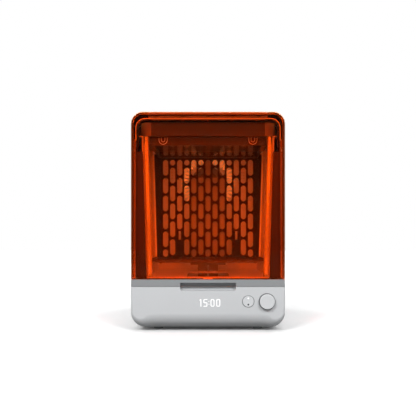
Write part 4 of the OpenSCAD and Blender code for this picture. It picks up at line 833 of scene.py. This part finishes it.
def vent_filters():
    """Filter mats behind the exhaust holes: discs of 27 mm radius, 1.6 mm thick.

    Their edge is the half circle radius 26.2 mm + e cos b, depth start + e (1 + sin b).
    """
    low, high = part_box("exhaust_frames")
    z, x = (low.z + high.z) / 2, high.x - (high.z - low.z) / 2
    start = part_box("rear_reflector")[1].y - FRONT + 0.2 * MM
    flat_r, edge_r, middle_r = 26.2 * MM, 0.8 * MM, 0.2 * MM
    b = np.linspace(-np.pi / 2, np.pi / 2, 9)
    edge = np.column_stack([flat_r + edge_r * np.cos(b), start + edge_r * (1 + np.sin(b))])
    profile = np.vstack([[middle_r, edge[0, 1]], edge, [middle_r, edge[-1, 1]]])
    for side, name in ((-1, "vent_filter_left"), (1, "vent_filter_right")):
        piece = revolved(name, side * x, z, profile, filter_mat, 48)
        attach(piece, "root")


def clip_edge_highlights():
    """Pale rims on the two lens clips, painted highlights on their edges: 0.5 mm wire round each
    clip and along its slot.
    """
    low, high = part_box("lens_clips")
    outer, slot_r, wire = 8 * MM, 2.75 * MM, 0.5 * MM
    top, centre_z = high.z - 0.6 * MM, low.z + outer
    shapes = []
    for side in (-1, 1):
        x = side * (high.x - outer)
        for r in (outer - wire, slot_r + wire):
            bow, _ = arc(x, centre_z, r, 180, 360, 24)
            path = np.vstack([[x - r, top], bow, [x + r, top]])
            path = np.column_stack([path[:, 0], np.full(len(path), low.y), path[:, 1]])
            shapes.append(tube(path, wire, 8))
    piece = outward(mesh_piece("clip_edge_highlights", *joined(shapes), reflector, 60))
    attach(piece, "root")


def feet():
    """Rubber feet: a turned pad with a 1.6 mm round sole edge, drawn in a little at the waist.

    The waist's radius is r - 0.35 mm sin(pi t). A round seat for the screw is let into the sole.
    """
    turns = 64
    a = np.linspace(0, 2 * np.pi, turns, endpoint=False)[:, None]
    b = np.linspace(0, np.pi / 2, 8)
    t = np.linspace(0, 1, 6)[1:]
    edge, seat_r, seat_z, middle_r = 1.6 * MM, 4.2 * MM, 1.6 * MM, 0.3 * MM
    for name in ("foot_front_left", "foot_front_right", "foot_rear_left", "foot_rear_right"):
        low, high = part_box(name)
        r, h = (high.x - low.x) / 2, high.z
        sole = np.column_stack([r - edge + edge * np.sin(b), edge - edge * np.cos(b)])
        waist = np.column_stack([r - 0.35 * MM * np.sin(np.pi * t), edge + (h - edge) * t])
        profile = np.vstack([[(middle_r, seat_z), (seat_r, seat_z), (seat_r, 0)],
                             sole, waist, [(middle_r, h)]])
        cx, cy = (low.x + high.x) / 2, (low.y + high.y) / 2
        cols = len(profile)
        grid = np.stack([cx + profile[:, 0] * np.cos(a), cy + profile[:, 0] * np.sin(a),
                         np.broadcast_to(profile[:, 1], (turns, cols))], -1)
        rings = np.arange(turns) * cols
        faces = grid_faces(turns, cols, close_rows=True)
        faces += [rings.tolist(), (rings + cols - 1).tolist()[::-1]]
        piece = outward(mesh_piece(name.replace("foot", "pad"), grid, faces, foot_rubber))
        stands_for(piece, "root", "foot_rubber", name)


def window():
    """Orange window: an upside-down U with a closed front pane and flanges to the rear.

    Outside fillet 1.8 mm, flange 3 mm thick with its rear edges broken by 0.5 mm, pane 3.5 mm
    thick and inner fillet 1.2 mm. A fillet is inset e (1 - sin b), depth e (1 - cos b).
    """
    edge_r, inner_r, rim = 1.8 * MM, 1.2 * MM, 0.5 * MM
    depth = window_high.y - FRONT
    outline = u_outline(HALF_W, window_low.z + 3.5 * MM, BODY_H, CORNER, 28)
    b = np.linspace(0, np.pi / 2, 10)
    across, along = 1 - np.sin(b), 1 - np.cos(b)
    inset = np.concatenate([edge_r * across, [0, rim * 0.3, rim],
                            [FLANGE - rim, FLANGE - rim * 0.3, FLANGE],
                            FLANGE + inner_r * across[::-1]])
    run = np.concatenate([edge_r * along, [depth - rim, depth - rim * 0.3, depth],
                          [depth, depth - rim * 0.3, depth - rim],
                          PANE + inner_r * along[::-1]])
    piece = even_shading(shell_piece("window", outline, inset[None], run[None], amber))
    stands_for(piece, "door", "amber_acrylic", "door_window")


def heater():
    """Coiled wire: 40 curls round a ring, one unbroken tube.

    Point t is the ring's radius R + c cos(80 pi t) at the angle that t has gone round the ring,
    and c sin(80 pi t) in depth. A gap of 10 degrees stays open at the bottom.
    """
    low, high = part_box("heater_coil")
    x, depth, z = places(low, high)
    wire, curls, gap = 0.5 * MM, 40, math.radians(10)
    coil_r = (high.y - low.y) / 2 - wire
    ring_r = (high.x - low.x) / 2 - wire - coil_r
    t = np.linspace(0, 1, curls * 24 + 1)
    ring = -np.pi / 2 + gap / 2 + t * (2 * np.pi - gap)
    curl = 2 * np.pi * curls * t
    r = ring_r + coil_r * np.cos(curl)
    path = np.column_stack([x + r * np.cos(ring), FRONT + depth + coil_r * np.sin(curl),
                            z + r * np.sin(ring)])
    piece = outward(mesh_piece("heater_wire", *tube(path, wire, 8), wire_painted_glints, 60))
    stands_for(piece, "root", "heater_wire", "heater_coil")


base_housing()
timer_figures()
knob()
mode_button()
edge_seal()
window_films()
pane_shade_strip()
reflector_rolls()
lamp_cover()
vent_filters()
clip_edge_highlights()
feet()
window()
heater()


# Floor, light and camera

def floor():
    """Pale floor under and behind the object: the camera sees it near white, with the shadow.

    For light it is mid grey. Its own glow, seen directly only, rises from 0.03 at 0.45 m from the
    middle to 1 at 1.3 m, and so runs into the white world.
    """
    half = 6.0
    verts = [(-half, -half, 0), (half, -half, 0), (half, half, 0), (-half, half, 0)]
    material, tree, output = new_material("pale_floor")
    ground = noise_at(tree, 400)
    colour = add(tree, "ShaderNodeMix", {
        0: ground.outputs[0], 6: linear("f6f6f6"), 7: linear("fafafa")}, data_type="RGBA")
    direct = seen_directly(tree)
    seen = add(tree, "ShaderNodeMix", {
        0: direct, 6: linear("686868"), 7: colour.outputs[2]}, data_type="RGBA")
    matt = add(tree, "ShaderNodeBsdfDiffuse", {"Color": seen.outputs[2]})
    place = add(tree, "ShaderNodeTexCoord")
    away = add(tree, "ShaderNodeVectorMath", {0: place.outputs["Object"]}, operation="LENGTH")
    fade = add(tree, "ShaderNodeMapRange", {
        "Value": away.outputs["Value"], "From Min": 0.45, "From Max": 1.3,
        "To Min": 0.03, "To Max": 1.0}, interpolation_type="SMOOTHSTEP")
    lift = add(tree, "ShaderNodeMath", {0: direct, 1: fade.outputs[0]}, operation="MULTIPLY")
    glow = add(tree, "ShaderNodeEmission", {"Strength": lift.outputs[0]})
    both = add(tree, "ShaderNodeAddShader", {0: matt.outputs[0], 1: glow.outputs[0]})
    tree.links.new(both.outputs[0], output.inputs[0])
    mesh_piece("floor", verts, [(0, 1, 2, 3)], material)


def lamp(name, place, target, size, power, colour=(1, 1, 1)):
    """Square soft lamp of the given size in metres and power in watts that faces a point."""
    light = bpy.data.lights.new(name, "AREA")
    light.color = colour
    light.shape = "SQUARE"
    light.size = size
    light.energy = power
    lamp_object = bpy.data.objects.new(name, light)
    bpy.context.scene.collection.objects.link(lamp_object)
    direction = np.array(target) - np.array(place)
    lamp_object.rotation_euler = Vector(direction).to_track_quat("-Z", "Y").to_euler()
    lamp_object.location = place


def world():
    """Soft surroundings: a plain weak light, white where the camera looks."""
    studio = bpy.data.worlds.new("studio")
    bpy.context.scene.world = studio
    studio.use_nodes = True
    tree = studio.node_tree
    tree.nodes.clear()
    level = add(tree, "ShaderNodeMapRange", {
        "Value": seen_directly(tree), "To Min": 0.23, "To Max": 1.0})
    back = add(tree, "ShaderNodeBackground", {
        "Color": (1, 1, 1, 1), "Strength": level.outputs[0]})
    add(tree, "ShaderNodeOutputWorld", {0: back.outputs[0]})


def camera():
    """The photograph's view: straight from the front, 1.05 m away, a little under half height.

    The frame, 416 pixels a side, spans 0.703 m at the front plane and is raised by 29 pixels.
    """
    distance, eye_z = 1.05, 0.160
    frame_w, frame_pixels, raised_pixels = 0.703, 416, 29
    data = bpy.data.cameras.new("camera")
    data.sensor_width = 36
    data.lens = data.sensor_width * distance / frame_w
    data.shift_y = raised_pixels / frame_pixels
    data.clip_start = 0.01
    eye = bpy.data.objects.new("camera", data)
    eye.location = (0, FRONT - distance, eye_z)
    eye.rotation_euler = (math.pi / 2, 0, 0)
    bpy.context.scene.collection.objects.link(eye)
    bpy.context.scene.camera = eye


floor()
world()
middle = (0, 0, 0.2)
# Two low lamps light the fascia's lower fillet and the floor in front, two keys the front
lamp("low_left", (-0.7, -2.2, 0.5), middle, 0.42, 2.4)
lamp("low_right", (0.7, -2.2, 0.5), middle, 0.42, 1.9)
lamp("key_left", (-0.9, -1.9, 1.5), middle, 0.6, 28)
lamp("key_right", (0.9, -1.9, 1.5), middle, 0.6, 23)
lamp("top", (0, 0.1, 2.4), middle, 1.3, 24)
# The unit's own light: a weak orange lamp in the chamber that faces the baffle
lamp("chamber", (0, FRONT + 0.056, 0.205), (0, 0.2, 0.205), 0.2, 0.22, (1.0, 0.3, 0.04))
lamp("rear_left", (-1.5, 1.9, 1.4), middle, 1.0, 18)
lamp("rear_right", (1.5, 1.9, 1.4), middle, 1.0, 18)
camera()
bpy.context.scene.view_settings.view_transform = "Standard"
